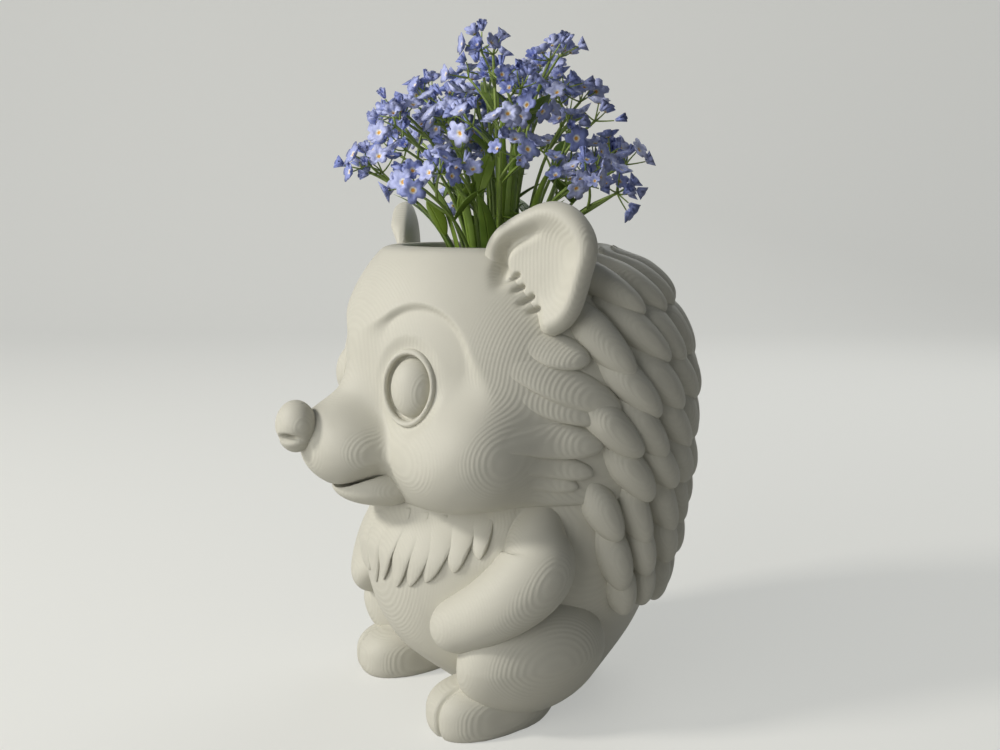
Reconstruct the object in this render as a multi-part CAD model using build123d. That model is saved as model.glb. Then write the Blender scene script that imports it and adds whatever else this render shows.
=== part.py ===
from build123d import *
import os
from math import cos, radians, sin, sqrt

# A hedgehog sitting upright, hollow from the crown down, with a potted plant hung in the crown.
# Millimetres. Z is up from the floor, the face looks along -Y and the animal's left is +X.

# Fits that all pieces share
GLUE_GAP = 0.2
PEG_FIT = 0.2
LIFT_FIT = 0.5
OVERRUN = 1.0

# Torso, from the floor to the neck
NECK_HEIGHT = 66.0
TORSO_WIDTH = 92.0
TORSO_DEPTH = 102.0
TORSO_WALL = 4.0
TORSO_FLOOR = 4.0
NECK_SHELF = 3.27
SPIGOT_WALL = 3.0
SPIGOT_HEIGHT = 7.0
DRAIN_RADIUS = 6.0
DRAIN_BACK = 14.0
# Share of the height, of the half width, of the half depth, and of the half depth it stands back
TORSO_SECTION_SHARES = [
    (0.0, 0.44, 0.42, 0.27),
    (0.13, 0.575, 0.545, 0.265),
    (0.28, 0.715, 0.695, 0.25),
    (0.45, 0.84, 0.82, 0.23),
    (0.63, 0.93, 0.92, 0.22),
    (0.81, 0.98, 0.975, 0.22),
    (1.0, 1.0, 1.0, 0.23),
]

# Head, from the neck to the rim of the crown
HEAD_HEIGHT = 81.0
HEAD_WIDTH = 104.0
HEAD_DEPTH = 114.0
HEAD_WALL = 4.0
OPENING_RADIUS = 31.0
RIM_WALL = 2.8
LEDGE_DROP = 10.0
LEDGE_WIDTH = 2.5
LEDGE_THICKNESS = 5.0
# As for the torso, above the neck, where the head starts as wide as the torso ends
HEAD_SECTION_SHARES = [
    (0.14, 0.94, 0.95, 0.15),
    (0.3, 0.982, 0.985, 0.11),
    (0.48, 1.0, 1.0, 0.09),
    (0.667, 0.96, 0.95, 0.07),
    (0.852, 0.865, 0.81, 0.05),
]

# Snout, a tapering muzzle that is one piece with the head
SNOUT_LENGTH = 33.0
SNOUT_RADIUS = 23.0
SNOUT_RISE = 3.0
SNOUT_ROOT_SHARE = 0.6
SNOUT_HEIGHT_SHARE = 0.27
# Share of the length and of the radius
SNOUT_SECTION_SHARES = [(0.0, 1.0), (0.35, 0.88), (0.68, 0.64), (0.9, 0.42), (1.0, 0.24)]

# Nose and lower jaw
NOSE_RADIUS = 6.3
NOSE_RISE = 2.5
NOSE_PEG_RADIUS = 2.0
NOSE_PEG_LENGTH = 5.0
JAW_WIDTH = 32.0
JAW_LENGTH = 26.0
JAW_HEIGHT = 18.0
JAW_REACH_SHARE = 0.3
JAW_DROP_SHARE = 0.8

# Eyes, each with a raised rim
EYE_WIDTH = 14.0
EYE_HEIGHT = 17.5
EYE_BULGE = 4.0
EYE_RIM_WIDTH = 2.6
EYE_RIM_BULGE = 2.2
EYE_AZIMUTH = 25.0
EYE_HEIGHT_SHARE = 0.5

# Ears, shallow dishes on the edge of the crown
EAR_WIDTH = 36.0
EAR_HEIGHT = 37.0
EAR_WALL = 4.0
EAR_DISH_RADIUS = 36.0
EAR_STANDOFF = 7.0
EAR_DROP = 5.5
EAR_AZIMUTH = 72.0
EAR_TURN = 30.0
EAR_PEG_RADIUS = 2.5
EAR_PEG_DEPTH = 6.0
EAR_PEG_SHARES = (-0.15, -0.15)

# Fur locks behind each cheek and on the chest
CHEEK_LOCKS = 6
CHEEK_LOCK_LENGTH = 20.0
CHEEK_LOCK_WIDTH = 7.0
CHEEK_LOCK_THICKNESS = 7.0
CHEEK_AZIMUTH = 84.0
CHEEK_LIFT = 9.0
CHEEK_DROOP = 14.0
CHEEK_LOW_SHARE = 0.12
CHEEK_HIGH_SHARE = 0.58
CHEST_LOCKS = 7
CHEST_LOCK_LENGTH = 26.0
CHEST_LOCK_WIDTH = 9.2
CHEST_LOCK_THICKNESS = 7.0
CHEST_SPREAD = 36.0
CHEST_LIFT = 8.0
CHEST_HEIGHT_SHARE = 0.8
LOCK_BELLY_SHARE = -0.2
CLING_SHARE = 0.35

# Arms, thighs and feet; places are shares of the torso's half width, half depth and height
ARM_RADIUS = 12.0
ARM_PEG_RADIUS = 2.5
ARM_PATH_SHARES = [
    (0.88, -0.16, 0.94),
    (0.98, -0.28, 0.86),
    (1.01, -0.36, 0.75),
    (0.93, -0.56, 0.66),
    (0.72, -0.74, 0.53),
]
# Share of the way along the arm and of its radius
ARM_SECTION_SHARES = [
    (0.0, 0.5), (0.08, 0.84), (0.25, 1.0), (0.45, 0.98),
    (0.65, 0.86), (0.85, 0.82), (0.96, 0.62), (1.0, 0.35),
]
ARM_PEG_SHARE = 0.25
THIGH_WIDTH = 27.0
THIGH_LENGTH = 48.0
THIGH_HEIGHT = 40.0
THIGH_PLACE_SHARES = (0.8, -0.12, 0.34)
THIGH_PEG_RADIUS = 3.0
FOOT_WIDTH = 25.0
FOOT_LENGTH = 47.0
FOOT_HEIGHT = 19.0
FOOT_PLACE_SHARES = (0.58, -0.42)
FOOT_SOLE_SHARE = 0.3
FOOT_PEG_RADIUS = 2.5
PEG_DEPTH = 3.0

# Quills, broad leaf shaped scales in rows round the back
QUILL_LENGTH = 23.0
QUILL_THICKNESS = 4.6
QUILL_LIFT = 15.0
QUILL_STEP = 14.0
QUILL_FILL_SHARE = 0.92
QUILL_BELLY_SHARE = 0.1
QUILL_TOP = 10.0
QUILL_PITCH = 13.5
# Degrees from the middle of the back to the last quill of each row
QUILL_ROW_SPREADS = [56, 63, 70, 77, 70, 77, 84, 77]

# Grow pot and soil
POT_HEIGHT = 90.0
POT_BOTTOM_RADIUS = 20.0
POT_WALL = 1.5
POT_FLANGE = 2.0
POT_HOLES = 4
POT_HOLE_RADIUS = 2.5
POT_HOLE_RING_SHARE = 0.6
SOIL_DROP = 16.0
SOIL_FIT = 0.2

# Plant: stems from a clump in the soil, a flower head on each, and leaves round the clump
STEM_COUNT = 30
STEM_RADIUS = 0.8
CLUMP_RADIUS = 12.0
BOUQUET_RADIUS = 50.0
BOUQUET_HEIGHT = 89.0
BOUQUET_DROP = 38.0
STEM_BEND_SHARE = 0.72
FLOWER_RADIUS = 7.0
FLOWER_HEIGHT = 6.0
GOLDEN_TURN = 137.508
LEAF_AZIMUTHS = [50, 90, 130, 230, 270, 310]
LEAF_WIDTH = 12.0
LEAF_THICKNESS = 0.9
LEAF_REACH = 38.0
LEAF_RISE = 42.0
LEAF_CLUMP_GAP = 3.5
LEAF_BEND_SHARE = 0.55
# Share of the way along a leaf and of its width
LEAF_SECTION_SHARES = [(0.0, 0.25), (0.25, 0.55), (0.55, 1.0), (0.8, 0.75), (0.95, 0.35), (1.0, 0.12)]

# Drain plug, dropped into the floor from above
PLUG_FIT = 0.3
PLUG_HEAD_RADIUS = 10.0
PLUG_HEAD_HEIGHT = 2.5
PLUG_KNOB_RADIUS = 4.0
PLUG_KNOB_HEIGHT = 6.0
PLUG_RECESS = 1.0

RIM_HEIGHT = NECK_HEIGHT + HEAD_HEIGHT
LEDGE_HEIGHT = RIM_HEIGHT - LEDGE_DROP


# The neck leaves a shelf on the torso in front of its spigot
torso_front = (1 - TORSO_SECTION_SHARES[-1][3]) * TORSO_DEPTH / 2
spigot_radius = torso_front - NECK_SHELF
neck_radius = spigot_radius - SPIGOT_WALL


def oval(width_radius, depth_radius):
    """An ellipse whose seam always lies on +X, so that stacked ovals never twist."""
    return scale(Circle(1), by=(width_radius, depth_radius, 1))


def stack(shares, width, depth, low, height, grow):
    """Sections of a rounded form, one oval for each row of shares, grown all round."""
    return [
        Pos(0, back * depth / 2, low + up * height) * oval(wide * width / 2 + grow, deep * depth / 2 + grow)
        for up, wide, deep, back in shares
    ]


def torso_form(grow):
    return loft(stack(TORSO_SECTION_SHARES, TORSO_WIDTH, TORSO_DEPTH, 0, NECK_HEIGHT, grow))


def cranium_form(grow):
    neck = stack(TORSO_SECTION_SHARES, TORSO_WIDTH, TORSO_DEPTH, 0, NECK_HEIGHT, grow)[-1:]
    crown = stack(HEAD_SECTION_SHARES, HEAD_WIDTH, HEAD_DEPTH, NECK_HEIGHT, HEAD_HEIGHT, grow)
    rim = Pos(0, 0, RIM_HEIGHT) * oval(OPENING_RADIUS + RIM_WALL + grow, OPENING_RADIUS + RIM_WALL + grow)
    return loft(neck + crown + [rim])


def snout_point(along):
    """Centre of the snout at a share of its length."""
    reach = SNOUT_ROOT_SHARE * HEAD_DEPTH / 2 + along * SNOUT_LENGTH
    return Vector(0, -reach, NECK_HEIGHT + SNOUT_HEIGHT_SHARE * HEAD_HEIGHT + along * SNOUT_RISE)


def snout_form(grow):
    stretch = 1 + grow / SNOUT_LENGTH
    sections = []
    for along, share in SNOUT_SECTION_SHARES:
        place = Plane(origin=snout_point(along * stretch), x_dir=(1, 0, 0), z_dir=(0, -1, 0))
        sections.append(place * Circle(share * SNOUT_RADIUS + grow))
    return loft(sections) & slab(NECK_HEIGHT, RIM_HEIGHT)


def slab(low, high):
    """Everything between two heights."""
    return Pos(0, 0, low) * Cylinder(
        HEAD_DEPTH + TORSO_DEPTH, high - low, align=(Align.CENTER, Align.CENTER, Align.MIN)
    )


def upright(radius, low, high):
    """A round bar on the opening's axis between two heights."""
    return Pos(0, 0, low) * Cylinder(radius, high - low, align=(Align.CENTER, Align.CENTER, Align.MIN))


def egg(place, width, length, height):
    """An egg form, given by its centre and its three sizes."""
    return Pos(*place) * scale(Sphere(1), by=(width / 2, length / 2, height / 2))


def facing(origin, along, outward):
    """A place whose Z runs along a direction and whose Y looks outward."""
    return Plane(origin=origin, x_dir=outward.cross(along), z_dir=along).location


def bar(start, end, radius):
    """A round bar between two points."""
    run = end - start
    place = Plane(origin=start, z_dir=run).location
    return place * Cylinder(radius, run.length, align=(Align.CENTER, Align.CENTER, Align.MIN))


def seat(form, azimuth, height, back):
    """Point and outward normal of a form, seen from its axis at an azimuth from the front."""
    line = Axis((0, back, height), (sin(radians(azimuth)), -cos(radians(azimuth)), 0))
    return form.find_intersection_points(line)[-1]


def first_hit(form, start, direction):
    """The point of a form that lies nearest to a start on a line through it."""
    hits = [point for point, _ in form.find_intersection_points(Axis(start, direction))]
    return min(hits, key=lambda point: (point - start).length)


def spindle(belly_share):
    """A leaf like solid of revolution one unit to each end, widest at a share of the way."""
    tip = TangentArc((1, belly_share), (0, 1), tangent=(0, 1))
    root = TangentArc((1, belly_share), (0, -1), tangent=(0, -1))
    spine = Line((0, -1), (0, 1))
    return revolve(Plane.XZ * make_face([tip, root, spine]), Axis.Z)


def both_sides(shape):
    """A left piece and its mirror image."""
    return shape, mirror(shape, about=Plane.YZ)


parts = {}

# Outer forms, and the same forms grown by the glue gap for cutting what sits on them
torso_outer = torso_form(0)
cranium_outer = cranium_form(0)
head_outer = cranium_outer + snout_form(0)
torso_grown = torso_form(GLUE_GAP)
head_grown = cranium_form(GLUE_GAP) + snout_form(GLUE_GAP)
head_back = HEAD_SECTION_SHARES[2][3] * HEAD_DEPTH / 2
torso_back = TORSO_SECTION_SHARES[-1][3] * TORSO_DEPTH / 2


def on_body(shape):
    """What is left of a piece outside the head and the torso."""
    return shape - head_grown - torso_grown


# Torso: hollow, with a floor, a neck plate and a spigot for the head
torso = torso_outer - (torso_form(-TORSO_WALL) & slab(TORSO_FLOOR, NECK_HEIGHT - TORSO_WALL))
torso += upright(spigot_radius, NECK_HEIGHT - TORSO_WALL, NECK_HEIGHT + SPIGOT_HEIGHT)
torso -= upright(neck_radius, NECK_HEIGHT - TORSO_WALL - OVERRUN, NECK_HEIGHT + SPIGOT_HEIGHT + OVERRUN)
torso -= Pos(0, DRAIN_BACK, 0) * upright(DRAIN_RADIUS, -OVERRUN, TORSO_FLOOR + OVERRUN)

# Head: hollow, with a collar for the spigot and a ledge for the pot
head_floor = NECK_HEIGHT + HEAD_WALL
ledge_low = LEDGE_HEIGHT - LEDGE_THICKNESS
head = head_outer - (cranium_form(-HEAD_WALL) & slab(head_floor, ledge_low))
head -= upright(spigot_radius + PEG_FIT, NECK_HEIGHT - OVERRUN, head_floor + OVERRUN)
head -= upright(OPENING_RADIUS - LEDGE_WIDTH, ledge_low - OVERRUN, LEDGE_HEIGHT + OVERRUN)
head -= upright(OPENING_RADIUS, LEDGE_HEIGHT, RIM_HEIGHT + OVERRUN)

# Nose: a ball on a peg in the end of the snout
snout_end = snout_point(1)
forward = Vector(0, -1, 0)
nose_place = snout_end + forward * NOSE_RADIUS / 2 + Vector(0, 0, NOSE_RISE)
nose_peg_end = snout_end - forward * NOSE_PEG_LENGTH
nose = Pos(*nose_place) * Sphere(NOSE_RADIUS) - snout_form(GLUE_GAP)
parts["nose"] = nose + bar(snout_end + forward * OVERRUN, nose_peg_end, NOSE_PEG_RADIUS)
head -= bar(snout_end + forward * OVERRUN, nose_peg_end - forward * PEG_FIT, NOSE_PEG_RADIUS + PEG_FIT)

# Lower jaw: the chin under the smile
jaw_place = snout_point(JAW_REACH_SHARE) - Vector(0, 0, JAW_DROP_SHARE * SNOUT_RADIUS)
jaw_grown = egg(jaw_place, *[size + 2 * GLUE_GAP for size in (JAW_WIDTH, JAW_LENGTH, JAW_HEIGHT)])
parts["lower_jaw"] = on_body(egg(jaw_place, JAW_WIDTH, JAW_LENGTH, JAW_HEIGHT))

# Eyes and eye rims
eye_level = NECK_HEIGHT + EYE_HEIGHT_SHARE * HEAD_HEIGHT
eye_point, eye_normal = seat(cranium_outer, EYE_AZIMUTH, eye_level, head_back)
eye_frame = facing(eye_point, Vector(0, 0, 1), eye_normal)
eye = eye_frame * egg((0, 0, 0), EYE_WIDTH, 2 * EYE_BULGE, EYE_HEIGHT)
eye_hole = oval(EYE_WIDTH / 2 + GLUE_GAP, EYE_HEIGHT / 2 + GLUE_GAP)
eye_ring = oval(EYE_WIDTH / 2 + EYE_RIM_WIDTH, EYE_HEIGHT / 2 + EYE_RIM_WIDTH) - eye_hole
eye_rim = eye_frame * Rot(X=-90) * extrude(eye_ring, EYE_RIM_BULGE, both=True)
parts["left_eye"], parts["right_eye"] = both_sides(on_body(eye))
parts["left_eye_rim"], parts["right_eye_rim"] = both_sides(on_body(eye_rim))

# Ears: a dish cut from a hollow ball, pegged to the edge of the crown
ear_point, ear_normal = seat(cranium_outer, EAR_AZIMUTH, RIM_HEIGHT - EAR_DROP, 0)
ear_axis = Vector(sin(radians(EAR_TURN)), -cos(radians(EAR_TURN)), 0)
ear_out = Vector(sin(radians(EAR_AZIMUTH)), -cos(radians(EAR_AZIMUTH)), 0)
ear_place = ear_point + ear_out * EAR_STANDOFF
ear_frame = Plane(origin=ear_place, x_dir=ear_axis.cross(Vector(0, 0, -1)), z_dir=ear_axis).location
ear_outline = extrude(oval(EAR_WIDTH / 2, EAR_HEIGHT / 2), EAR_DISH_RADIUS, both=True)
ear_dish = Sphere(EAR_DISH_RADIUS + EAR_WALL) - Sphere(EAR_DISH_RADIUS)
ear = on_body(ear_frame * (ear_outline & Pos(0, 0, EAR_DISH_RADIUS) * ear_dish))
ear_peg_x, ear_peg_y = EAR_PEG_SHARES
ear_root = ear_frame * Pos(ear_peg_x * EAR_WIDTH / 2, ear_peg_y * EAR_HEIGHT / 2, -EAR_WALL / 2)
ear_peg_start = ear_root.position
ear_peg_end = first_hit(cranium_outer, ear_peg_start, -ear_normal) - ear_normal * EAR_PEG_DEPTH
ear += bar(ear_peg_start, ear_peg_end, EAR_PEG_RADIUS)
ear_socket = bar(ear_peg_start, ear_peg_end - ear_normal * PEG_FIT, EAR_PEG_RADIUS + PEG_FIT)
parts["left_ear"], parts["right_ear"] = both_sides(ear)
for socket in both_sides(ear_socket):
    head -= socket


def lock(form, azimuth, height, back, along, lift, sizes, belly_share):
    """A pointed lock or quill seated on a form, lying along a direction with its tip lifted."""
    point, normal = seat(form, azimuth, height, back)
    leaving = along.dot(normal)
    flat = (along - normal * leaving * (CLING_SHARE if leaving > 0 else 1)).normalized()
    run = flat * cos(radians(lift)) + normal * sin(radians(lift))
    length, width, thickness = sizes
    body = scale(spindle(belly_share), by=(width / 2, thickness / 2, length / 2))
    return on_body(facing(point, run, normal) * body)


# Cheek tufts: locks that sweep back behind each cheek
cheek_run = Vector(0, cos(radians(CHEEK_DROOP)), -sin(radians(CHEEK_DROOP)))
cheek_sizes = (CHEEK_LOCK_LENGTH, CHEEK_LOCK_WIDTH, CHEEK_LOCK_THICKNESS)
cheek_locks = []
for number in range(CHEEK_LOCKS):
    up = CHEEK_LOW_SHARE + (CHEEK_HIGH_SHARE - CHEEK_LOW_SHARE) * number / (CHEEK_LOCKS - 1)
    cheek_locks.append(lock(
        cranium_outer, CHEEK_AZIMUTH, NECK_HEIGHT + up * HEAD_HEIGHT, head_back,
        cheek_run, CHEEK_LIFT, cheek_sizes, LOCK_BELLY_SHARE,
    ))
parts["left_cheek_tufts"] = Compound(cheek_locks)
parts["right_cheek_tufts"] = Compound([mirror(piece, about=Plane.YZ) for piece in cheek_locks])

# Chest tuft: locks that hang under the chin
chest_sizes = (CHEST_LOCK_LENGTH, CHEST_LOCK_WIDTH, CHEST_LOCK_THICKNESS)
parts["chest_tuft"] = Compound([
    lock(
        torso_outer, CHEST_SPREAD * (2 * number / (CHEST_LOCKS - 1) - 1), CHEST_HEIGHT_SHARE * NECK_HEIGHT,
        torso_back, Vector(0, 0, -1), CHEST_LIFT, chest_sizes, LOCK_BELLY_SHARE,
    ) - jaw_grown
    for number in range(CHEST_LOCKS)
])


def torso_place(shares):
    """A point given as shares of the torso's half width, half depth and height."""
    wide, deep, up = shares
    return Vector(wide * TORSO_WIDTH / 2, deep * TORSO_DEPTH / 2, up * NECK_HEIGHT)


def peg(start, target, form, radius):
    """A peg from a point in one piece towards a point inside another, and its socket there."""
    run = (target - start).normalized()
    tip = first_hit(form, start, run) + run * PEG_DEPTH
    return bar(start, tip, radius), bar(start, tip + run * PEG_FIT, radius + PEG_FIT)


def torso_axis(height):
    return Vector(0, torso_back, height)


# Thighs: eggs on the torso's sides
thigh_place = torso_place(THIGH_PLACE_SHARES)
thigh_form = egg(thigh_place, THIGH_WIDTH, THIGH_LENGTH, THIGH_HEIGHT)
thigh_grown = egg(thigh_place, *[size + 2 * GLUE_GAP for size in (THIGH_WIDTH, THIGH_LENGTH, THIGH_HEIGHT)])
thigh_peg_start = thigh_place + Vector(THIGH_WIDTH / 4, 0, 0)
thigh_peg, thigh_socket = peg(thigh_peg_start, torso_axis(thigh_place.Z), torso_outer, THIGH_PEG_RADIUS)

# Feet: low eggs with a flat sole, pegged to the thighs
foot_x, foot_y = FOOT_PLACE_SHARES
foot_place = Vector(foot_x * TORSO_WIDTH / 2, foot_y * TORSO_DEPTH / 2, FOOT_SOLE_SHARE * FOOT_HEIGHT)
foot = egg(foot_place, FOOT_WIDTH, FOOT_LENGTH, 2 * (FOOT_HEIGHT - foot_place.Z)) & slab(0, FOOT_HEIGHT)
foot_peg, foot_socket = peg(foot_place, thigh_place, thigh_form, FOOT_PEG_RADIUS)
parts["left_foot"], parts["right_foot"] = both_sides(foot - torso_grown - thigh_grown + foot_peg)
parts["left_thigh"], parts["right_thigh"] = both_sides(on_body(thigh_form) + thigh_peg - foot_socket)

# Arms: round limbs from the shoulder over the elbow to the hand on the belly
arm_path = Spline(*[torso_place(shares) for shares in ARM_PATH_SHARES])
shoulder = arm_path @ ARM_PEG_SHARE
arm_peg, arm_socket = peg(shoulder, torso_axis(shoulder.Z), torso_outer, ARM_PEG_RADIUS)
arm = loft([
    Plane(origin=arm_path @ along, x_dir=(0, 0, 1), z_dir=arm_path % along) * Circle(share * ARM_RADIUS)
    for along, share in ARM_SECTION_SHARES
])
parts["left_arm"], parts["right_arm"] = both_sides(on_body(arm) - thigh_grown + arm_peg)

for socket in both_sides(thigh_socket) + both_sides(arm_socket):
    torso -= socket

# Quills: rows round the back, every other row set over by half a step
for row, spread in enumerate(QUILL_ROW_SPREADS):
    height = RIM_HEIGHT - QUILL_TOP - row * QUILL_PITCH
    form, back = (cranium_outer, head_back) if height > NECK_HEIGHT else (torso_outer, torso_back)
    quills = []
    turn = QUILL_STEP / 2 * (row % 2)
    while turn <= spread:
        point, normal = seat(form, 180 - turn, height, back)
        width = QUILL_FILL_SHARE * radians(QUILL_STEP) * (point - Vector(0, back, height)).length
        quill = lock(
            form, 180 - turn, height, back, Vector(0, 0, -1), QUILL_LIFT,
            (QUILL_LENGTH, width, QUILL_THICKNESS), QUILL_BELLY_SHARE,
        )
        quills += both_sides(quill) if turn > 0 else [quill]
        turn += QUILL_STEP
    parts[f"quill_row_{row + 1}"] = Compound(quills)

# Grow pot: a tapered liner that hangs on the ledge by its flange
pot_radius = OPENING_RADIUS - LEDGE_WIDTH - LIFT_FIT
pot_top = LEDGE_HEIGHT + POT_FLANGE
pot_low = pot_top - POT_HEIGHT
pot_floor = pot_low + POT_WALL
flange_radius = OPENING_RADIUS - LIFT_FIT


def pot_radius_at(height):
    """Outer radius of the pot's wall, which tapers evenly to its bottom."""
    return POT_BOTTOM_RADIUS + (pot_radius - POT_BOTTOM_RADIUS) * (height - pot_low) / POT_HEIGHT


pot_outline = Polyline(
    (0, pot_low), (POT_BOTTOM_RADIUS, pot_low), (pot_radius_at(LEDGE_HEIGHT), LEDGE_HEIGHT),
    (flange_radius, LEDGE_HEIGHT), (flange_radius, pot_top), (pot_radius - POT_WALL, pot_top),
    (pot_radius_at(pot_floor) - POT_WALL, pot_floor), (0, pot_floor), close=True,
)
pot = revolve(Plane.XZ * make_face(pot_outline), Axis.Z)
pot_holes = PolarLocations(POT_HOLE_RING_SHARE * POT_BOTTOM_RADIUS, POT_HOLES)
pot -= pot_holes * upright(POT_HOLE_RADIUS, pot_low - OVERRUN, pot_floor + OVERRUN)
parts["grow_pot"] = pot

# Potting soil: fills the pot to below its flange
soil_top = pot_top - SOIL_DROP
soil_outline = Polyline(
    (0, pot_floor), (pot_radius_at(pot_floor) - POT_WALL - SOIL_FIT, pot_floor),
    (pot_radius_at(soil_top) - POT_WALL - SOIL_FIT, soil_top), (0, soil_top), close=True,
)
parts["potting_soil"] = revolve(Plane.XZ * make_face(soil_outline), Axis.Z)


def round_axis(radius, azimuth, height):
    """A point at a radius and an azimuth from the front, round the opening's axis."""
    return Vector(radius * sin(radians(azimuth)), -radius * cos(radians(azimuth)), height)


# Stems and flower heads: spread evenly over a dome, each stem rising straight before it leans out
stems = []
flowers = []
for number in range(STEM_COUNT):
    share = sqrt((number + 1 / 2) / STEM_COUNT)
    azimuth = number * GOLDEN_TURN
    top = soil_top + BOUQUET_HEIGHT - BOUQUET_DROP * share ** 2
    bend = soil_top + STEM_BEND_SHARE * (top - soil_top)
    root = round_axis(CLUMP_RADIUS * share, azimuth, soil_top)
    elbow = round_axis(CLUMP_RADIUS * share, azimuth, bend)
    tip = round_axis(BOUQUET_RADIUS * share, azimuth, top)
    stems.append(sweep(Plane(root) * Circle(STEM_RADIUS), path=Bezier(root, elbow, tip)))
    dome = Sphere(1, arc_size1=0, align=(Align.CENTER, Align.CENTER, Align.MIN))
    dome = scale(dome, by=(FLOWER_RADIUS, FLOWER_RADIUS, FLOWER_HEIGHT))
    flowers.append(Plane(origin=tip, z_dir=tip - elbow) * dome)
parts["flower_stems"] = Compound(stems)
parts["flower_heads"] = Compound(flowers)

# Leaves: thin blades round the clump, rising out of the soil and leaning over the rim
leaves = []
for azimuth in LEAF_AZIMUTHS:
    base = CLUMP_RADIUS + LEAF_CLUMP_GAP
    root = round_axis(base, azimuth, soil_top)
    elbow = round_axis(base, azimuth, soil_top + LEAF_BEND_SHARE * LEAF_RISE)
    tip = round_axis(LEAF_REACH, azimuth, soil_top + LEAF_RISE)
    spine = Bezier(root, elbow, tip)
    side = round_axis(1, azimuth + 90, 0)
    sections = []
    for along, share in LEAF_SECTION_SHARES:
        place = Plane(origin=spine @ along, x_dir=side, z_dir=spine % along)
        sections.append(place * oval(share * LEAF_WIDTH / 2, LEAF_THICKNESS / 2))
    leaves.append(loft(sections))
parts["leaves"] = Compound(leaves)

# Drain plug: a stopper whose head lies on the floor inside
plug_top = TORSO_FLOOR + PLUG_HEAD_HEIGHT
parts["drain_plug"] = Pos(0, DRAIN_BACK, 0) * (
    upright(DRAIN_RADIUS - PLUG_FIT, PLUG_RECESS, plug_top)
    + upright(PLUG_HEAD_RADIUS, TORSO_FLOOR, plug_top)
    + upright(PLUG_KNOB_RADIUS, TORSO_FLOOR, plug_top + PLUG_KNOB_HEIGHT)
)

parts["torso_shell"] = torso
parts["head_shell"] = head

os.makedirs("parts", exist_ok=True)
for name, shape in parts.items():
    export_step(shape, f"parts/{name}.step")
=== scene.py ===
import bpy
import numpy as np
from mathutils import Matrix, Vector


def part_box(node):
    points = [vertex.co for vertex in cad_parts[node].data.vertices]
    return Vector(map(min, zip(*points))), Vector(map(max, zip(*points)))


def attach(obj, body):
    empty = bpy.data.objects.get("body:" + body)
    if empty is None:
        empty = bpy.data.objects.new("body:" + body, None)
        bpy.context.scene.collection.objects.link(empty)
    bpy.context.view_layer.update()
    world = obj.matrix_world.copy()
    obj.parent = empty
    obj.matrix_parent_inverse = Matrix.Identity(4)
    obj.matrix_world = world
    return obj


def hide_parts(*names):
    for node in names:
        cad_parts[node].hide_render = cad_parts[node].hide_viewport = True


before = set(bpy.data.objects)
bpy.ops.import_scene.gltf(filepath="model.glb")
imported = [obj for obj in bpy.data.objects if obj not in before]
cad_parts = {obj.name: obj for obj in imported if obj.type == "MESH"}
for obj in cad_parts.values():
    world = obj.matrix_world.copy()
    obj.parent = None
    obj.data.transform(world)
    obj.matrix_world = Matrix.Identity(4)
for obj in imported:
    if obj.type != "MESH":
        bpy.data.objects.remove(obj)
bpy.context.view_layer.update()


# Torso: the hollow lower body of the animal, printed in warm grey plastic.
# It stands on a small flat base with a drain hole, and the head is glued over its neck spigot.
# Sizes here and below are in millimetres; the animal faces -Y and its left is +X.
MM = 0.001
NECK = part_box("head_shell")[0][2] / MM
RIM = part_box("head_shell")[1][2] / MM
WALL = 4.0
# Height of each of the body's ovals, and its half width, half depth and set-back
BODY_LEVELS = [0, 8.6, 18.5, 29.7, 41.6, 53.5, NECK, 77.3, 90.3, 104.9, 120, 135, RIM]
BODY_OVALS = [
    (20.2, 23.9, 11.3), (26.5, 32.3, 9.0), (32.9, 41.4, 6.8), (38.6, 47.3, 5.8), (42.8, 51.2, 6.3),
    (45.1, 53.2, 7.2), (46.0, 54.6, 7.9), (48.9, 54.2, 8.6), (51.1, 56.1, 6.3), (52.0, 57.0, 5.1),
    (49.9, 54.2, 4.0), (45.0, 46.2, 2.9), (33.8, 33.8, 0.0),
]
NECK_PINCH = 4.5
SIDE_PINCH = 0.6
PINCH_RUN = 14.0
NECK_LAP = 6.0
SPIGOT_RADIUS = 36.0
SPIGOT_BORE = 33.0
SPIGOT_HEIGHT = 7.0
DRAIN_RADIUS = 6.0
DRAIN_BACK = 14.0
PRINT_COLOUR = (0.58, 0.565, 0.49, 1)
LAYER_STEP = 0.6
LAYER_RELIEF = 0.055


def smooth_curve(knots, values, at):
    """Natural cubic spline through the values at the knots: the bends solve the usual three-term
    system, and each stretch is a cubic of the values and bends at its two ends."""
    knots = np.asarray(knots, float)
    values = np.asarray(values, float)
    step = np.diff(knots)
    inner = np.arange(1, len(knots) - 1)
    system = np.eye(len(knots))
    system[inner, inner - 1] = step[:-1]
    system[inner, inner] = 2 * (step[:-1] + step[1:])
    system[inner, inner + 1] = step[1:]
    slope = np.diff(values, axis=0) / step.reshape(-1, *[1] * (values.ndim - 1))
    bend = np.zeros_like(values)
    bend[1:-1] = 6 * np.diff(slope, axis=0)
    bend = np.linalg.solve(system, bend)
    at = np.clip(np.asarray(at, float), knots[0], knots[-1])
    cell = np.clip(np.searchsorted(knots, at, side="right") - 1, 0, len(step) - 1)
    width, share = step[cell], (at - knots[cell]) / step[cell]
    if values.ndim > 1:
        width, share = width[..., None], share[..., None]
    rest = 1 - share
    curve = ((rest**3 - rest) * bend[cell] + (share**3 - share) * bend[cell + 1]) * width**2 / 6
    return rest * values[cell] + share * values[cell + 1] + curve


def ramp(value, low, high):
    """A smooth step from 0 at the low end to 1 at the high end."""
    share = np.clip((value - low) / (high - low), 0, 1)
    return share * share * (3 - 2 * share)


def unit(vector):
    """Vectors over their own lengths."""
    return vector / np.linalg.norm(vector, axis=-1, keepdims=True)


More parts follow.
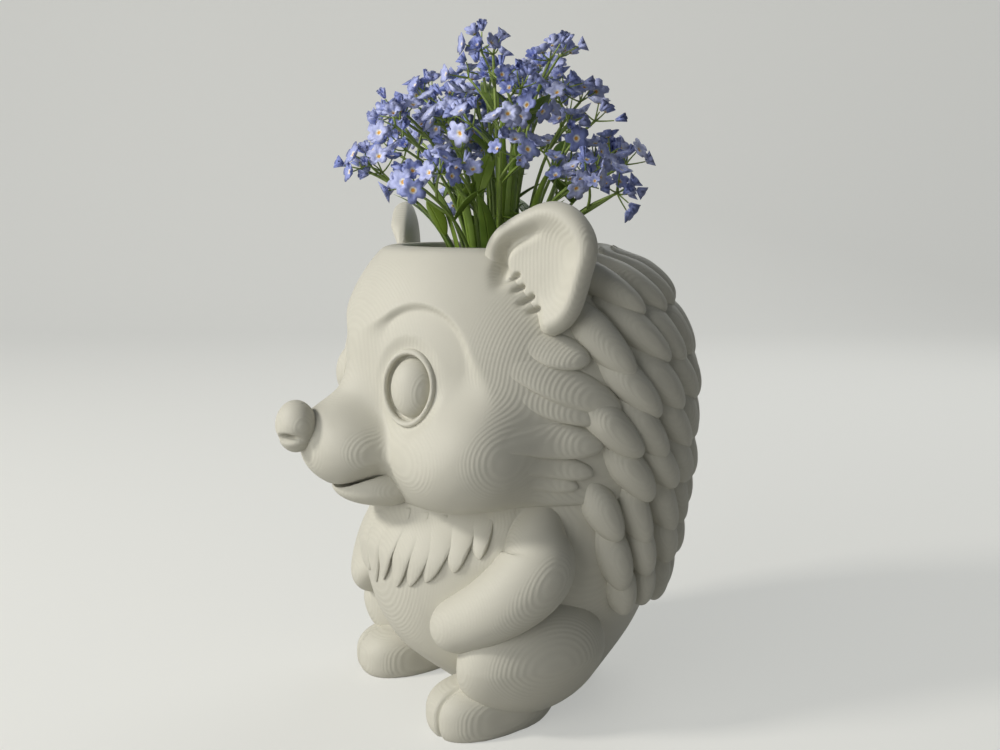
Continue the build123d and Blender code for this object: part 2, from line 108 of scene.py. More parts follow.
def body_point(turn, height, out=0.0):
    """A point of the body's skin: on the oval of its height, at a turn from the front towards the
    animal's left, with the oval grown outwards."""
    turn, height, out = np.broadcast_arrays(turn, height, out)
    wide, deep, back = np.moveaxis(smooth_curve(BODY_LEVELS, BODY_OVALS, height), -1, 0)
    return np.stack([(wide + out) * np.sin(turn), back - (deep + out) * np.cos(turn), height], -1)


def body_runs(turn, height):
    """Outward normal and downward run of the skin, from small steps along it."""
    down = unit(body_point(turn, height - 1) - body_point(turn, height + 1))
    side = unit(body_point(turn + 0.01, height) - body_point(turn - 0.01, height))
    return np.cross(down, side), down


def sunk(points, depth):
    """Points that lie deeper than this under the body's skin, moved out to that depth."""
    wide, deep, back = np.moveaxis(smooth_curve(BODY_LEVELS, BODY_OVALS, points[..., 2]), -1, 0)
    across = np.hypot(points[..., 0] / (wide - depth), (points[..., 1] - back) / (deep - depth))
    grow = 1 / np.clip(across, 0.05, 1)
    return np.stack([points[..., 0] * grow, back + (points[..., 1] - back) * grow, points[..., 2]], -1)


def rings(rows, turns):
    """One oval ring for each row of half width, half depth, set-back and height."""
    wide, deep, back, height = np.asarray(rows, float).T[..., None]
    sine, cosine = np.sin(turns), np.cos(turns)
    return np.stack([wide * sine, back - deep * cosine, height + 0 * turns], -1)


def eased(rows, ease=0.4):
    """A profile with its corners cut: each run stops a little short of its two corners."""
    rows = np.asarray(rows, float)
    run = np.diff(rows, axis=0)
    share = np.minimum(ease / np.linalg.norm(run, axis=1, keepdims=True), 0.45)
    return np.stack([rows[:-1] + run * share, rows[1:] - run * share], 1).reshape(-1, rows.shape[1])


def grid_object(name, points, loop=False, tints=None):
    """An object of one or more closed surfaces, each a grid of rows and columns of points. Columns
    close round; rows close round too, or else end in a fan about the middle of the end row.
    A surface whose volume comes out negative is turned the other way."""
    points = np.asarray(points, float)
    points = points[None] if points.ndim == 3 else points
    surfaces, rows, columns, _ = points.shape
    number = np.arange(rows * columns).reshape(rows, columns)
    here = number if loop else number[:-1]
    there = np.roll(number, -1, 0) if loop else number[1:]
    quads = np.stack([here, np.roll(here, -1, 1), np.roll(there, -1, 1), there], -1).reshape(-1, 4)
    corners = points.reshape(surfaces, -1, 3)
    fans = np.zeros((0, 3), int)
    if not loop:
        corners = np.concatenate([corners, points[:, [0, -1]].mean(2)], 1)
        first = np.stack([np.roll(number[0], -1), number[0], np.full(columns, number.size)], -1)
        last = np.stack([number[-1], np.roll(number[-1], -1), np.full(columns, number.size + 1)], -1)
        fans = np.concatenate([first, last])
    halves = np.concatenate([quads[:, :3], quads[:, [0, 2, 3]], fans])
    one, two, three = np.moveaxis(corners[:, halves], 2, 0)
    inside_out = np.einsum("stx,stx->s", one, np.cross(two, three)) < 0
    shift = np.arange(surfaces)[:, None, None] * corners.shape[1]
    faces = []
    for kind in (quads, fans):
        placed = kind + shift
        placed[inside_out] = placed[inside_out][..., ::-1]
        faces.append(placed.reshape(-1, kind.shape[1]))
    mesh = bpy.data.meshes.new(name)
    mesh.vertices.add(corners.shape[0] * corners.shape[1])
    mesh.vertices.foreach_set("co", (corners * MM).ravel())
    loops = np.concatenate([kind.ravel() for kind in faces])
    mesh.loops.add(len(loops))
    mesh.loops.foreach_set("vertex_index", loops)
    sizes = np.concatenate([np.full(len(kind), kind.shape[1]) for kind in faces])
    mesh.polygons.add(len(sizes))
    mesh.polygons.foreach_set("loop_start", np.cumsum(sizes) - sizes)
    mesh.polygons.foreach_set("use_smooth", np.ones(len(sizes), bool))
    if tints is not None:
        ends = np.zeros((surfaces, corners.shape[1] - number.size, 2))
        ends[..., 0] = tints[:, 0, 0, :1]
        flat = np.concatenate([tints.reshape(surfaces, -1, 2), ends], 1).reshape(-1, 2)
        mesh.uv_layers.new(name="tint").data.foreach_set("uv", flat[loops].ravel())
    mesh.update(calc_edges=True)
    mesh.validate()
    piece = bpy.data.objects.new(name, mesh)
    bpy.context.collection.objects.link(piece)
    return piece


def settle(piece, body, slot, material, *nodes):
    """Gives a piece its finish, hangs it on the body it moves with and hides the nodes it stands for."""
    piece.data.materials.append(material)
    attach(piece, body)
    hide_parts(*nodes)


class Shade:
    """A socket of a material; arithmetic on it adds Math nodes."""

    def __init__(self, tree, socket):
        self.tree = tree
        self.socket = socket

    def node(self, kind, settings=None, sockets=None, out=0):
        """A node of a type: its settings are set first, then its sockets' values or links."""
        made = self.tree.nodes.new(kind)
        for name, value in (settings or {}).items():
            setattr(made, name, value)
        for name, value in (sockets or {}).items():
            if isinstance(value, Shade):
                self.tree.links.new(value.socket, made.inputs[name])
            else:
                made.inputs[name].default_value = value
        return Shade(self.tree, made.outputs[out])

    def math(self, operation, first, second=0.0):
        return self.node("ShaderNodeMath", {"operation": operation}, {0: first, 1: second})

    def __add__(self, other):
        return self.math("ADD", self, other)

    def __sub__(self, other):
        return self.math("SUBTRACT", self, other)

    def __rsub__(self, other):
        return self.math("SUBTRACT", other, self)

    def __mul__(self, other):
        return self.math("MULTIPLY", self, other)

    __radd__ = __add__
    __rmul__ = __mul__

    def limited(self):
        """The value kept between 0 and 1."""
        return self.node("ShaderNodeClamp", sockets={"Value": self})

    def noise(self, scale, detail=3.0):
        return self.node("ShaderNodeTexNoise", sockets={"Vector": self, "Scale": scale, "Detail": detail})

    def parts(self):
        """The three components of a vector."""
        split = self.node("ShaderNodeSeparateXYZ", sockets={0: self})
        return [Shade(self.tree, out) for out in split.socket.node.outputs]

    def mix(self, low, high):
        """A colour between two colours, by this value."""
        return self.node("ShaderNodeMix", {"data_type": "RGBA"}, {0: self, 6: low, 7: high}, out=2)


def new_material(name, roughness, colour):
    """A material with its shader and its Object coordinates."""
    material = bpy.data.materials.new(name)
    material.use_nodes = True
    material.diffuse_color = colour
    shader = material.node_tree.nodes["Principled BSDF"]
    shader.inputs["Roughness"].default_value = roughness
    coordinates = material.node_tree.nodes.new("ShaderNodeTexCoord")
    return material, shader, coordinates


def feed(shader, **sockets):
    """Links shades to sockets of a shader."""
    for name, shade in sockets.items():
        shade.tree.links.new(shade.socket, shader.inputs[name.replace("_", " ")])


def printed_plastic():
    """Matte plastic laid down in fine layers: on each axis a wave of the place, shown only where
    the surface lies nearly square to that axis, as the steps of a print do."""
    material, shader, coordinates = new_material("printed_plastic", 0.62, PRINT_COLOUR)
    tree = material.node_tree
    place = Shade(tree, coordinates.outputs["Object"])
    facing = Shade(tree, coordinates.outputs["Normal"])
    lines = None
    for along, towards in zip(place.parts(), facing.parts()):
        shown = (towards.math("ABSOLUTE", towards) * 5 - 3.6).limited()
        wave = along.math("SINE", along * (2 * np.pi / (LAYER_STEP * MM))) * 0.5 + 0.5
        lines = wave * shown if lines is None else lines + wave * shown
    blotches = place.noise(45.0)
    grain = place.noise(2600.0, 2.0)
    tone = (blotches * 0.5 + lines * 0.2 + grain * 0.25).limited()
    dark = [channel * 0.9 for channel in PRINT_COLOUR[:3]] + [1]
    light = [channel * 1.06 for channel in PRINT_COLOUR[:3]] + [1]
    height = lines + grain * 0.25
    bump = height.node("ShaderNodeBump", sockets={"Distance": LAYER_RELIEF * MM, "Height": height})
    feed(shader, Base_Color=tone.mix(dark, light), Roughness=blotches * 0.16 + 0.54, Normal=bump)
    return material


print_grey = printed_plastic()
turns = np.linspace(0, 2 * np.pi, 192, endpoint=False)
levels = np.linspace(0, NECK + NECK_LAP, 66)
pinch = SIDE_PINCH + (NECK_PINCH - SIDE_PINCH) * ramp(np.cos(turns), 0.0, 0.7)
pinch = ramp(levels, NECK - PINCH_RUN, NECK)[:, None] * pinch
torso_skin = body_point(turns, levels[:, None], -pinch)
inner_levels = np.linspace(NECK - WALL, WALL, 30)
inner_ovals = smooth_curve(BODY_LEVELS, BODY_OVALS, inner_levels) - [WALL, WALL, 0]
inner_rows = np.column_stack([inner_ovals, inner_levels])
neck_rows = eased([
    (40.0, 46.0, 6.0, NECK + NECK_LAP), (SPIGOT_RADIUS, SPIGOT_RADIUS, 0, NECK + NECK_LAP),
    (SPIGOT_RADIUS, SPIGOT_RADIUS, 0, NECK + SPIGOT_HEIGHT),
    (SPIGOT_BORE, SPIGOT_BORE, 0, NECK + SPIGOT_HEIGHT), (SPIGOT_BORE, SPIGOT_BORE, 0, NECK - WALL),
    inner_rows[0],
])
base_rows = eased([
    inner_rows[-1], (DRAIN_RADIUS, DRAIN_RADIUS, DRAIN_BACK, WALL),
    (DRAIN_RADIUS, DRAIN_RADIUS, DRAIN_BACK, 0), (*BODY_OVALS[0], 0),
])
torso_inside = rings(np.vstack([neck_rows, inner_rows, base_rows]), turns)
torso = grid_object("torso", np.concatenate([torso_skin, torso_inside]), loop=True)
settle(torso, "planter", "print", print_grey, "torso_shell")


# Head: a hollow printed shell with a pointed muzzle, full cheeks and sunken eye fields.
# Its crown is cut open to a round rim, with a ledge inside on which the grow pot hangs.
HEAD_MIDDLE = np.array([0.0, 0.0, 104.0])
HEAD_RADII = (52.0, 57.0)
CROWN_RISE = 56.7
NECK_FALL = 81.0
HEAD_BACK = 5.0
HEAD_LEAN = -0.12
HEAD_LIFT = 5.0
OPENING_RADIUS = 31.0
LEDGE_RADIUS = 28.5
LEDGE_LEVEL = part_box("grow_pot")[1][2] / MM - 2.0
LEDGE_THICKNESS = 5.0
COLLAR_RADIUS = SPIGOT_RADIUS + 0.2
EYE_PLACE = np.array([23.8, -45.8, 106.9])
EYE_ACROSS = unit(np.array([0.89, 0.455, 0.0]))
EYE_OUT = unit(np.array([0.455, -0.89, 0.03]))
BROW_CENTRE = (2.0, 3.5)
BROW_RADII = (18.0, 20.5)
BROW_DEPTH = 1.8
CHEEK_MIDDLE = (26.5, -27, 88)
CHEEK_RADII = (24, 22, 20.5)
MUZZLE_MIDDLE = (0, -51, 87.5)
MUZZLE_RADII = (17.3, 17.3, 14)
BRIDGE_TOP = (0, -38, 102)
BRIDGE_END = (0, -60, 93)
BRIDGE_RADII = (11, 7)
LIP_MIDDLE = 75.2
LIP_SMILE = 0.03
SEAT_RADII = (8.7, 10.5)
SEAT_SHARE = 0.65
SEAT_TILT = 0.12
SEAT_BENDS = (95, 150)
SOCKET_RADII = (8.2, 10.0)
SOCKET_DEPTH = 2.2
EAR_MIDDLE = np.array([46.0, -15.0, 142.0])
EAR_OUT = np.array([0.5, -0.866, 0.0])
EAR_ACROSS = np.array([0.866, 0.5, 0.0])
# Places across and up the ear's plane along the fold inside the ear, and its depth there
EAR_FOLD = [
    (-11.2, -4.4, 2.6), (-12.4, -1.0, 4.4), (-12.4, 2.6, 4.6), (-10.4, 5.5, 3.8), (-7.0, 7.6, 2.6),
    (-3.0, 9.2, 1.4), (0.5, 10.3, 0.3),
]
EAR_FOLD_WIDTH = 1.7
# Ends in the same plane of the slits that part the fur at the ear's foot
EAR_SLITS = np.array([
    [(-10.2, -4.7), (-7.0, -2.4)], [(-7.0, -6.8), (-5.4, -5.8)],
    [(-4.6, -10.4), (-2.2, -8.4)], [(-1.9, -12.7), (-0.2, -11.8)],
])
EAR_SLIT_WIDTH = 0.65
EAR_SLIT_DEPTH = 2.6


def ball(points, middle, radii):
    """Distance, about, to an egg: the scaled radius less one, over the length of its slope."""
    offset = points - np.asarray(middle)
    radii = np.asarray(radii)
    near = np.linalg.norm(offset / radii, axis=-1)
    slope = np.linalg.norm(offset / radii**2, axis=-1)
    return near * (near - 1) / np.maximum(slope, 1e-6)


def cone(points, start, end, start_radius, end_radius):
    """Distance to a bar with round ends whose radius changes evenly along it."""
    start, run = np.asarray(start), np.asarray(end) - np.asarray(start)
    share = np.clip((points - start) @ run / (run @ run), 0, 1)
    away = np.linalg.norm(points - start - share[..., None] * run, axis=-1)
    return away - start_radius - (end_radius - start_radius) * share


def melt(one, two, reach):
    """The lesser of two distances, rounded where they are nearly equal."""
    share = np.clip(0.5 + (two - one) / (2 * reach), 0, 1)
    return two + (one - two) * share - reach * share * (1 - share)


def cut(one, two, reach):
    """The greater of two distances, rounded where they are nearly equal."""
    return -melt(-one, -two, reach)


def lip_height(x):
    """Height of the upper lip: it rises with the square of the distance from the middle, a smile."""
    return LIP_MIDDLE + LIP_SMILE * x**2


def head_distance(points):
    """Distance, about, to the head's skin: a leaning egg for the skull, melted together with the
    cheeks, the muzzle and the bridge of the nose, the same on both sides; the eye fields are sunk
    into it under a brow and evened out round the eyes, and the neck and the crown are cut off."""
    x, y, z = np.moveaxis(points, -1, 0)
    half = np.stack([np.abs(x), y, z], -1)
    above = z - HEAD_MIDDLE[2]
    back = y - HEAD_BACK - HEAD_LEAN * above
    tall = np.where(above > 0, CROWN_RISE, NECK_FALL)
    skull = np.sqrt((x / HEAD_RADII[0])**2 + (back / HEAD_RADII[1])**2 + (above / tall)**2)
    skull = (skull - 1) * HEAD_RADII[0]
    cheek = ball(half, CHEEK_MIDDLE, CHEEK_RADII)
    muzzle = cut(ball(half, MUZZLE_MIDDLE, MUZZLE_RADII), lip_height(x) - z, 1.0)
    bridge = cone(points, BRIDGE_TOP, BRIDGE_END, *BRIDGE_RADII)
    head = melt(melt(melt(skull, cheek, 8), bridge, 8), muzzle, 4)
    offset = half - EYE_PLACE
    across = (offset @ EYE_ACROSS - BROW_CENTRE[0]) / BROW_RADII[0]
    up = (above - EYE_PLACE[2] + HEAD_MIDDLE[2] - BROW_CENTRE[1]) / BROW_RADII[1]
    sharp = ramp(up + 0.3 * across, -0.1, 0.7)
    field = ramp(np.hypot(across, up), 1.53 - 0.49 * sharp, 0.7 + 0.21 * sharp) * ramp(y, 0, -20)
    head = head + BROW_DEPTH * field
    aside, out = offset @ EYE_ACROSS, offset @ EYE_OUT
    higher = offset[..., 2]
    seat = out + BROW_DEPTH + SEAT_TILT * higher + aside**2 / SEAT_BENDS[0] + higher**2 / SEAT_BENDS[1]
    seated = ramp(np.hypot(aside / SEAT_RADII[0], higher / SEAT_RADII[1]), 1.5, 1.0) * ramp(out, -14, -8)
    head = head + SEAT_SHARE * seated * (seat - head)
    head = cut(head, NECK + HEAD_LIFT * ramp(y, -52, -12) - z, 1.5 + 4 * ramp(y, 5, -30))
    return cut(head, z - RIM, 2)


def on_head(points, normals, out):
    """Points moved along their normals to the head's skin, and then out of it."""
    for step in range(40):
        points = points - 0.6 * head_distance(points)[..., None] * normals
    return points + np.asarray(out)[..., None] * normals


def ear_grooves(flat):
    """Depth in the ear's plane of the fold and of the slits: each is deepest along its own line and
    closes to both sides as a bell curve."""
    fold = smooth_curve(np.linspace(0, 1, len(EAR_FOLD)), EAR_FOLD, np.linspace(0, 1, 48))
    off_fold = np.linalg.norm(flat[..., None, :] - fold[:, :2], axis=-1)
    depth = np.max(fold[:, 2] * np.exp(-(off_fold / EAR_FOLD_WIDTH)**2), axis=-1)
    run = EAR_SLITS[:, 1] - EAR_SLITS[:, 0]
    from_end = flat[..., None, :] - EAR_SLITS[:, 0]
    share = np.clip(np.sum(from_end * run, -1) / np.sum(run**2, -1), 0, 1)
    off_slit = np.linalg.norm(from_end - share[..., None] * run, axis=-1)
    return np.maximum(depth, EAR_SLIT_DEPTH * np.exp(-(off_slit.min(-1) / EAR_SLIT_WIDTH)**2))


polar = np.radians(np.linspace(37.6, 131, 176))[:, None]
even = np.linspace(-np.pi, np.pi, 360, endpoint=False)
head_turns = even - 0.6 * np.sin(even)
ray = np.stack(np.broadcast_arrays(
    np.sin(polar) * np.sin(head_turns), -np.sin(polar) * np.cos(head_turns), np.cos(polar) + 0 * head_turns
), -1)
reach = np.full(ray.shape[:2], 95.0)
for step in range(44):
    reach -= 0.85 * head_distance(HEAD_MIDDLE + reach[..., None] * ray)
head_skin = HEAD_MIDDLE + reach[..., None] * ray
mirror = np.where(head_skin[..., :1] < 0, [-1, 1, 1], [1, 1, 1])
off_ear = head_skin * mirror - EAR_MIDDLE
off_eye = head_skin * mirror - EYE_PLACE
near_ear = ramp(off_ear @ EAR_OUT, -9, -7)
groove = near_ear * ear_grooves(np.stack([off_ear @ EAR_ACROSS, off_ear[..., 2]], -1))
in_socket = np.hypot(off_eye @ EYE_ACROSS / SOCKET_RADII[0], off_eye[..., 2] / SOCKET_RADII[1])
socket = SOCKET_DEPTH * ramp(in_socket, 1.03, 0.93) * ramp(off_eye @ EYE_OUT, -12, -9)
head_skin = head_skin - mirror * (groove[..., None] * EAR_OUT + socket[..., None] * EYE_OUT)
hollow_levels = np.linspace(NECK + 10, LEDGE_LEVEL - LEDGE_THICKNESS, 24)
hollow_rows = np.column_stack([
    smooth_curve(BODY_LEVELS, BODY_OVALS, hollow_levels) - [WALL + 1, WALL + 1, 0], hollow_levels
])
collar_rows = eased([
    (COLLAR_RADIUS + 1.2, COLLAR_RADIUS + 1.2, 0, NECK + NECK_LAP),
    (COLLAR_RADIUS, COLLAR_RADIUS, 0, NECK + NECK_LAP),
    (COLLAR_RADIUS, COLLAR_RADIUS, 0, NECK + NECK_LAP + 2), hollow_rows[0],
])
ledge_low = LEDGE_LEVEL - LEDGE_THICKNESS
rim_rows = eased([
    hollow_rows[-1], (LEDGE_RADIUS, LEDGE_RADIUS, 0, ledge_low),
    (LEDGE_RADIUS, LEDGE_RADIUS, 0, LEDGE_LEVEL),
    (OPENING_RADIUS, OPENING_RADIUS, 0, LEDGE_LEVEL), (OPENING_RADIUS, OPENING_RADIUS, 0, RIM - 0.6),
    (OPENING_RADIUS + 0.8, OPENING_RADIUS + 0.8, 0, RIM),
])
head_inside = rings(np.vstack([collar_rows, hollow_rows, rim_rows]), head_turns)
head = grid_object("head", np.concatenate([head_skin, head_inside]), loop=True)
settle(head, "planter", "print", print_grey, "head_shell")


# Lower jaw: the chin under the smile, a printed half egg glued beneath the muzzle.
# Its upper edge closes against the muzzle, and the crease between them is the mouth.
JAW_MIDDLE = np.array([0.0, -42.0, 74.0])
JAW_RADII = np.array([16.0, 16.2, 6.8])
JAW_RISE = 11.0
MOUTH_GAP = 1.0


def egg_rings(rows, columns, start=2.0, end=178.0):
    """Rings of a unit ball about -Y, from a first to a last angle off that axis, in degrees."""
    off = np.radians(np.linspace(start, end, rows))[:, None]
    round_it = np.linspace(0, 2 * np.pi, columns, endpoint=False)
    across, up = np.sin(off) * np.cos(round_it), np.sin(off) * np.sin(round_it)
    return np.stack([across, -np.cos(off) + 0 * round_it, up], -1)


jaw_unit = egg_rings(48, 96, 2, 92)
jaw_points = JAW_MIDDLE + jaw_unit * JAW_RADII
jaw_high = JAW_MIDDLE[2] + JAW_RISE * jaw_unit[..., 2]
jaw_points[..., 2] = np.where(jaw_unit[..., 2] > 0, jaw_high, jaw_points[..., 2])
jaw_points[..., 2] = np.minimum(jaw_points[..., 2], lip_height(jaw_points[..., 0]) - MOUTH_GAP)
jaw = grid_object("jaw", jaw_points)
settle(jaw, "planter", "print", print_grey, "lower_jaw")


# Nose: a rounded button printed in the same grey plastic, narrower towards its lower end.
# It is pegged into the end of the muzzle, and two nostrils are pressed into its front.
NOSE_MIDDLE = np.array([0.0, -70.2, 94.2])
NOSE_RADII = np.array([6.9, 6.1, 7.9])
NOSTRIL = np.array([3.5, -74.6, 91.2])
NOSTRIL_SIZE = np.array([1.9, 3.4, 1.0])
NOSTRIL_DEPTH = 7.5

nose_unit = egg_rings(90, 120)
nose_points = NOSE_MIDDLE + nose_unit * NOSE_RADII
narrow = 1 - 0.28 * ramp(nose_unit[..., 2], 0.2, -1)
nose_points[..., 0] *= narrow
beside = (np.abs(nose_points[..., [0]]) * [1, 0, 0] + nose_points * [0, 1, 1] - NOSTRIL) / NOSTRIL_SIZE
pit = np.exp(-np.sum(beside**2, -1, keepdims=True))
nose_points -= NOSTRIL_DEPTH * pit * nose_unit
nose = grid_object("nose_button", nose_points)
settle(nose, "planter", "print", print_grey, "nose")


# Eyes: plain eggs of the same grey print, glued into the sunken fields beside the muzzle.
# Each has a raised printed rim round it, a thin ring that follows the skin.
EYE_RADII = np.array([7.0, 6.0, 8.8])
RIM_RADII = np.array([8.7, 10.5])
RIM_TUBE = np.array([0.75, 1.3])
EYE_SINK = 2.6


def eye_points(across, out, up, flip):
    """Places given across, up and out of the head's skin in the eye field."""
    place = EYE_PLACE + across[..., None] * EYE_ACROSS + up[..., None] * [0, 0, 1]
    return on_head(place, EYE_OUT + 0 * place, out) * [flip, 1, 1]


eye_unit = egg_rings(48, 64)
around = np.linspace(0, 2 * np.pi, 96, endpoint=False)[:, None]
section = np.linspace(0, 2 * np.pi, 24, endpoint=False)
rim_swell = 1 + RIM_TUBE[0] * np.cos(section) / RIM_RADII[0]
for side, flip in (("left", 1), ("right", -1)):
    ball_points = eye_points(
        eye_unit[..., 0] * EYE_RADII[0], -eye_unit[..., 1] * EYE_RADII[1] - EYE_SINK,
        eye_unit[..., 2] * EYE_RADII[2], flip,
    )
    eye = grid_object(f"{side}_eyeball", ball_points)
    settle(eye, "planter", "print", print_grey, f"{side}_eye")
    rim_points = eye_points(
        RIM_RADII[0] * np.cos(around) * rim_swell, RIM_TUBE[1] * np.sin(section) + 0 * around,
        RIM_RADII[1] * np.sin(around) * rim_swell, flip,
    )
    rim = grid_object(f"{side}_eyelid", rim_points, loop=True)
    settle(rim, "planter", "print", print_grey, f"{side}_eye_rim")


# Ears: round printed dishes with a rolled edge, pegged to the sides of the crown.
# A fold runs up the inside, and towards the head the dish sinks into fur parted by short slits.
# Degrees round the ear from its outer side over the top, and its radius there
EAR_ANGLES = [-76, -58, -34, 0, 22, 40, 59, 77, 104, 134, 158, 175, 195, 220, 245, 265, 284]
EAR_RADII = [
    19.9, 18.8, 16.6, 16.5, 18.8, 19.6, 19.8, 19.0, 16.8, 17.0, 18.2, 18.0, 17, 16.5, 16.5, 18, 19.9,
]
# Share of the radius and height out of the ear's plane, from the middle in front round to the back
EAR_PROFILE = [
    (0.004, -2.02), (0.3, -2.0), (0.52, -1.3), (0.68, 0.2), (0.8, 1.2), (0.9, 0.7),
    (0.97, -0.9), (1.0, -2.9), (0.95, -4.8), (0.7, -6.8), (0.34, -7.8), (0.004, -8.0),
]
EAR_FLOOR = -2.02


def limb(path, outward, wide, thick, columns):
    """A profile carried along a path: at each of its points an oval, so wide across the surface
    that it lies on and so thick out of it."""
    run = unit(np.gradient(path, axis=-2))
    side = unit(np.cross(run, outward))
    up = np.cross(side, run)
    angle = np.linspace(0, 2 * np.pi, columns, endpoint=False)
    across = (np.asarray(wide)[..., None] * np.cos(angle))[..., None] * side[..., None, :]
    above = (np.asarray(thick)[..., None] * np.sin(angle))[..., None] * up[..., None, :]
    return path[..., None, :] + across + above


def blunt(share, start):
    """A width that stays full up to a start and then closes in a round end."""
    past = np.clip((share - start) / (1 - start), 0, 1)
    return np.sqrt(np.clip(1 - past**2, 0, 1))


ear_turn = np.linspace(-76, 284, 160, endpoint=False)
ear_row = np.arange(80)[:, None]
ear_radius = smooth_curve(EAR_ANGLES, EAR_RADII, ear_turn)
ear_profile = smooth_curve(np.linspace(0, 1, len(EAR_PROFILE)), EAR_PROFILE, np.linspace(0, 1, 80))
ear_s = ear_profile[:, :1] * ear_radius * np.cos(np.radians(ear_turn))
ear_t = ear_profile[:, :1] * ear_radius * np.sin(np.radians(ear_turn))
rimless = ramp(ear_turn, 128, 182) * ramp(ear_turn, 284, 268) * ramp(ear_row, 53, 47)
ear_h = ear_profile[:, 1:] + (EAR_FLOOR - ear_profile[:, 1:]) * rimless
ear_h -= ear_grooves(np.stack([ear_s, ear_t], -1)) * ramp(ear_row, 49, 40)
ear_points = EAR_MIDDLE + ear_s[..., None] * EAR_ACROSS + ear_t[..., None] * [0, 0, 1]
ear_points = ear_points + ear_h[..., None] * EAR_OUT
for side, flip in (("left", 1), ("right", -1)):
    ear = grid_object(f"{side}_ear_dish", ear_points * [flip, 1, 1])
    settle(ear, "planter", "print", print_grey, f"{side}_ear")


# Cheek tufts: plump locks of fur in the same grey print, six on each side. They grow out of the
# head's skin behind the cheek and sweep back over the first quills.
# Each row is a lock: turn and height of its root, turn and height of its tip, half width
CHEEK_LOCKS = np.array([
    (65, 121.0, 85.5, 115.0, 5.4),
    (58, 115.0, 95.0, 100.2, 5.8),
    (60, 106.5, 88.5, 97.4, 4.4),
    (56, 95.0, 88.5, 90.0, 5.6),
    (60, 87.0, 84.5, 81.4, 3.8),
    (60, 81.4, 79.5, 77.6, 3.0),
])
CHEEK_THICK_SHARE = 0.62
CHEEK_SINK = 0.5
CHEEK_LIFT_SHARE = 0.26
CHEEK_TILT = 0.3

lock_share = np.sin(np.linspace(0, np.pi / 2 - 0.03, 30))
root_turn, root_height, tip_turn, tip_height, lock_wide = CHEEK_LOCKS.T[..., None]
lock_turn = np.radians(root_turn + (tip_turn - root_turn) * lock_share)
lock_height = root_height + (tip_height - root_height) * lock_share**1.3
body_normal, _ = body_runs(lock_turn, lock_height)
lock_skin = on_head(body_point(lock_turn, lock_height), body_normal, 0 * lock_turn)
lock_slope = [head_distance(lock_skin + step) - head_distance(lock_skin - step) for step in np.eye(3)]
lock_normal = unit(np.stack(lock_slope, -1))
lock_thick = CHEEK_THICK_SHARE * lock_wide * (0.1 + 0.9 * lock_share**1.3)
lock_out = -CHEEK_SINK + CHEEK_LIFT_SHARE * lock_wide * lock_share**2
lock_path = lock_skin + lock_out[..., None] * lock_normal
lock_form = blunt(lock_share, 0.5) * (0.55 + 0.45 * ramp(lock_share, 0, 0.5))
lock_outward = unit(lock_normal + lock_share[:, None] * [0, 0, CHEEK_TILT])
cheek_points = limb(lock_path, lock_outward, lock_wide * lock_form, lock_thick * blunt(lock_share, 0.6), 28)
for side, flip in (("left", 1), ("right", -1)):
    tuft = grid_object(f"{side}_cheek_fur", cheek_points * [flip, 1, 1])
    settle(tuft, "planter", "print", print_grey, f"{side}_cheek_tufts")


# Chest tuft: a bib of thirteen flat locks of the same grey print, longest in the middle. They are
# glued at their roots under the chin and hang down over the chest.
# Each row is a lock of one side: turn of its root, turn and height of its tip, half width
CHEST_LOCKS = np.array([
    (0, 0, 41.5, 5.4),
    (12, 7, 43.8, 5.4),
    (21, 15.5, 43.0, 5.4),
    (29.5, 22.5, 44.4, 5.4),
    (36.5, 30, 46.8, 5.2),
    (42.5, 41, 51.0, 4.8),
    (48.5, 50, 55.5, 4.2),
])
CHEST_THICK = 2.0
CHEST_TILT = 0.32
CHEST_TOP = NECK + 3

chest_locks = np.concatenate([CHEST_LOCKS, CHEST_LOCKS[1:] * [-1, -1, 1, 1]])
chest_root, chest_end, chest_tip, chest_wide = chest_locks.T[..., None]
chest_share = np.sin(np.linspace(0, np.pi / 2 - 0.03, 30))
chest_height = CHEST_TOP + (chest_tip - CHEST_TOP) * chest_share
chest_turn = np.radians(chest_root + (chest_end - chest_root) * chest_share**1.2)
chest_normal, _ = body_runs(chest_turn, chest_height)
pinched = NECK_PINCH * ramp(chest_height, NECK - PINCH_RUN, NECK)
chest_path = body_point(chest_turn, chest_height, -0.5 + 0.8 * chest_share - pinched)
chest_form = blunt(chest_share, 0.25)**1.4
chest_side = np.stack([np.cos(chest_turn), np.sin(chest_turn), 0 * chest_turn], -1)
chest_side = chest_side * np.sign(chest_root)[..., None]
chest_outward = unit(chest_normal - CHEST_TILT * chest_share[:, None] * chest_side)
chest_thick = CHEST_THICK * (0.15 + 0.85 * chest_share) * chest_form + 0 * chest_turn
chest_points = limb(chest_path, chest_outward, chest_wide * chest_form, chest_thick, 26)
chest = grid_object("chest_fur", chest_points)
settle(chest, "planter", "print", print_grey, "chest_tuft")


# Arms: round limbs of the same grey print, pegged to the shoulders under the cheeks.
# They hang down beside the chest, bend at the elbow and bring the hands to the belly.
ARM_PATH = [
    (34.0, -6.5, 72.0), (37.4, -8.5, 66.0), (40.6, -10.7, 59.5), (43.2, -12.5, 53.0), (42.0, -19.6, 45.8),
    (36.6, -27.0, 39.3), (29.0, -33.2, 34.0), (25.2, -35.0, 31.6),
]
# Share of the way along the arm and its radius there
ARM_RADII = [
    (0, 6.0), (0.14, 7.4), (0.28, 9.6), (0.43, 11.5), (0.6, 10.8), (0.78, 9.0), (0.9, 7.9), (1, 7.6),
]
LIMB_SINK = 3.0

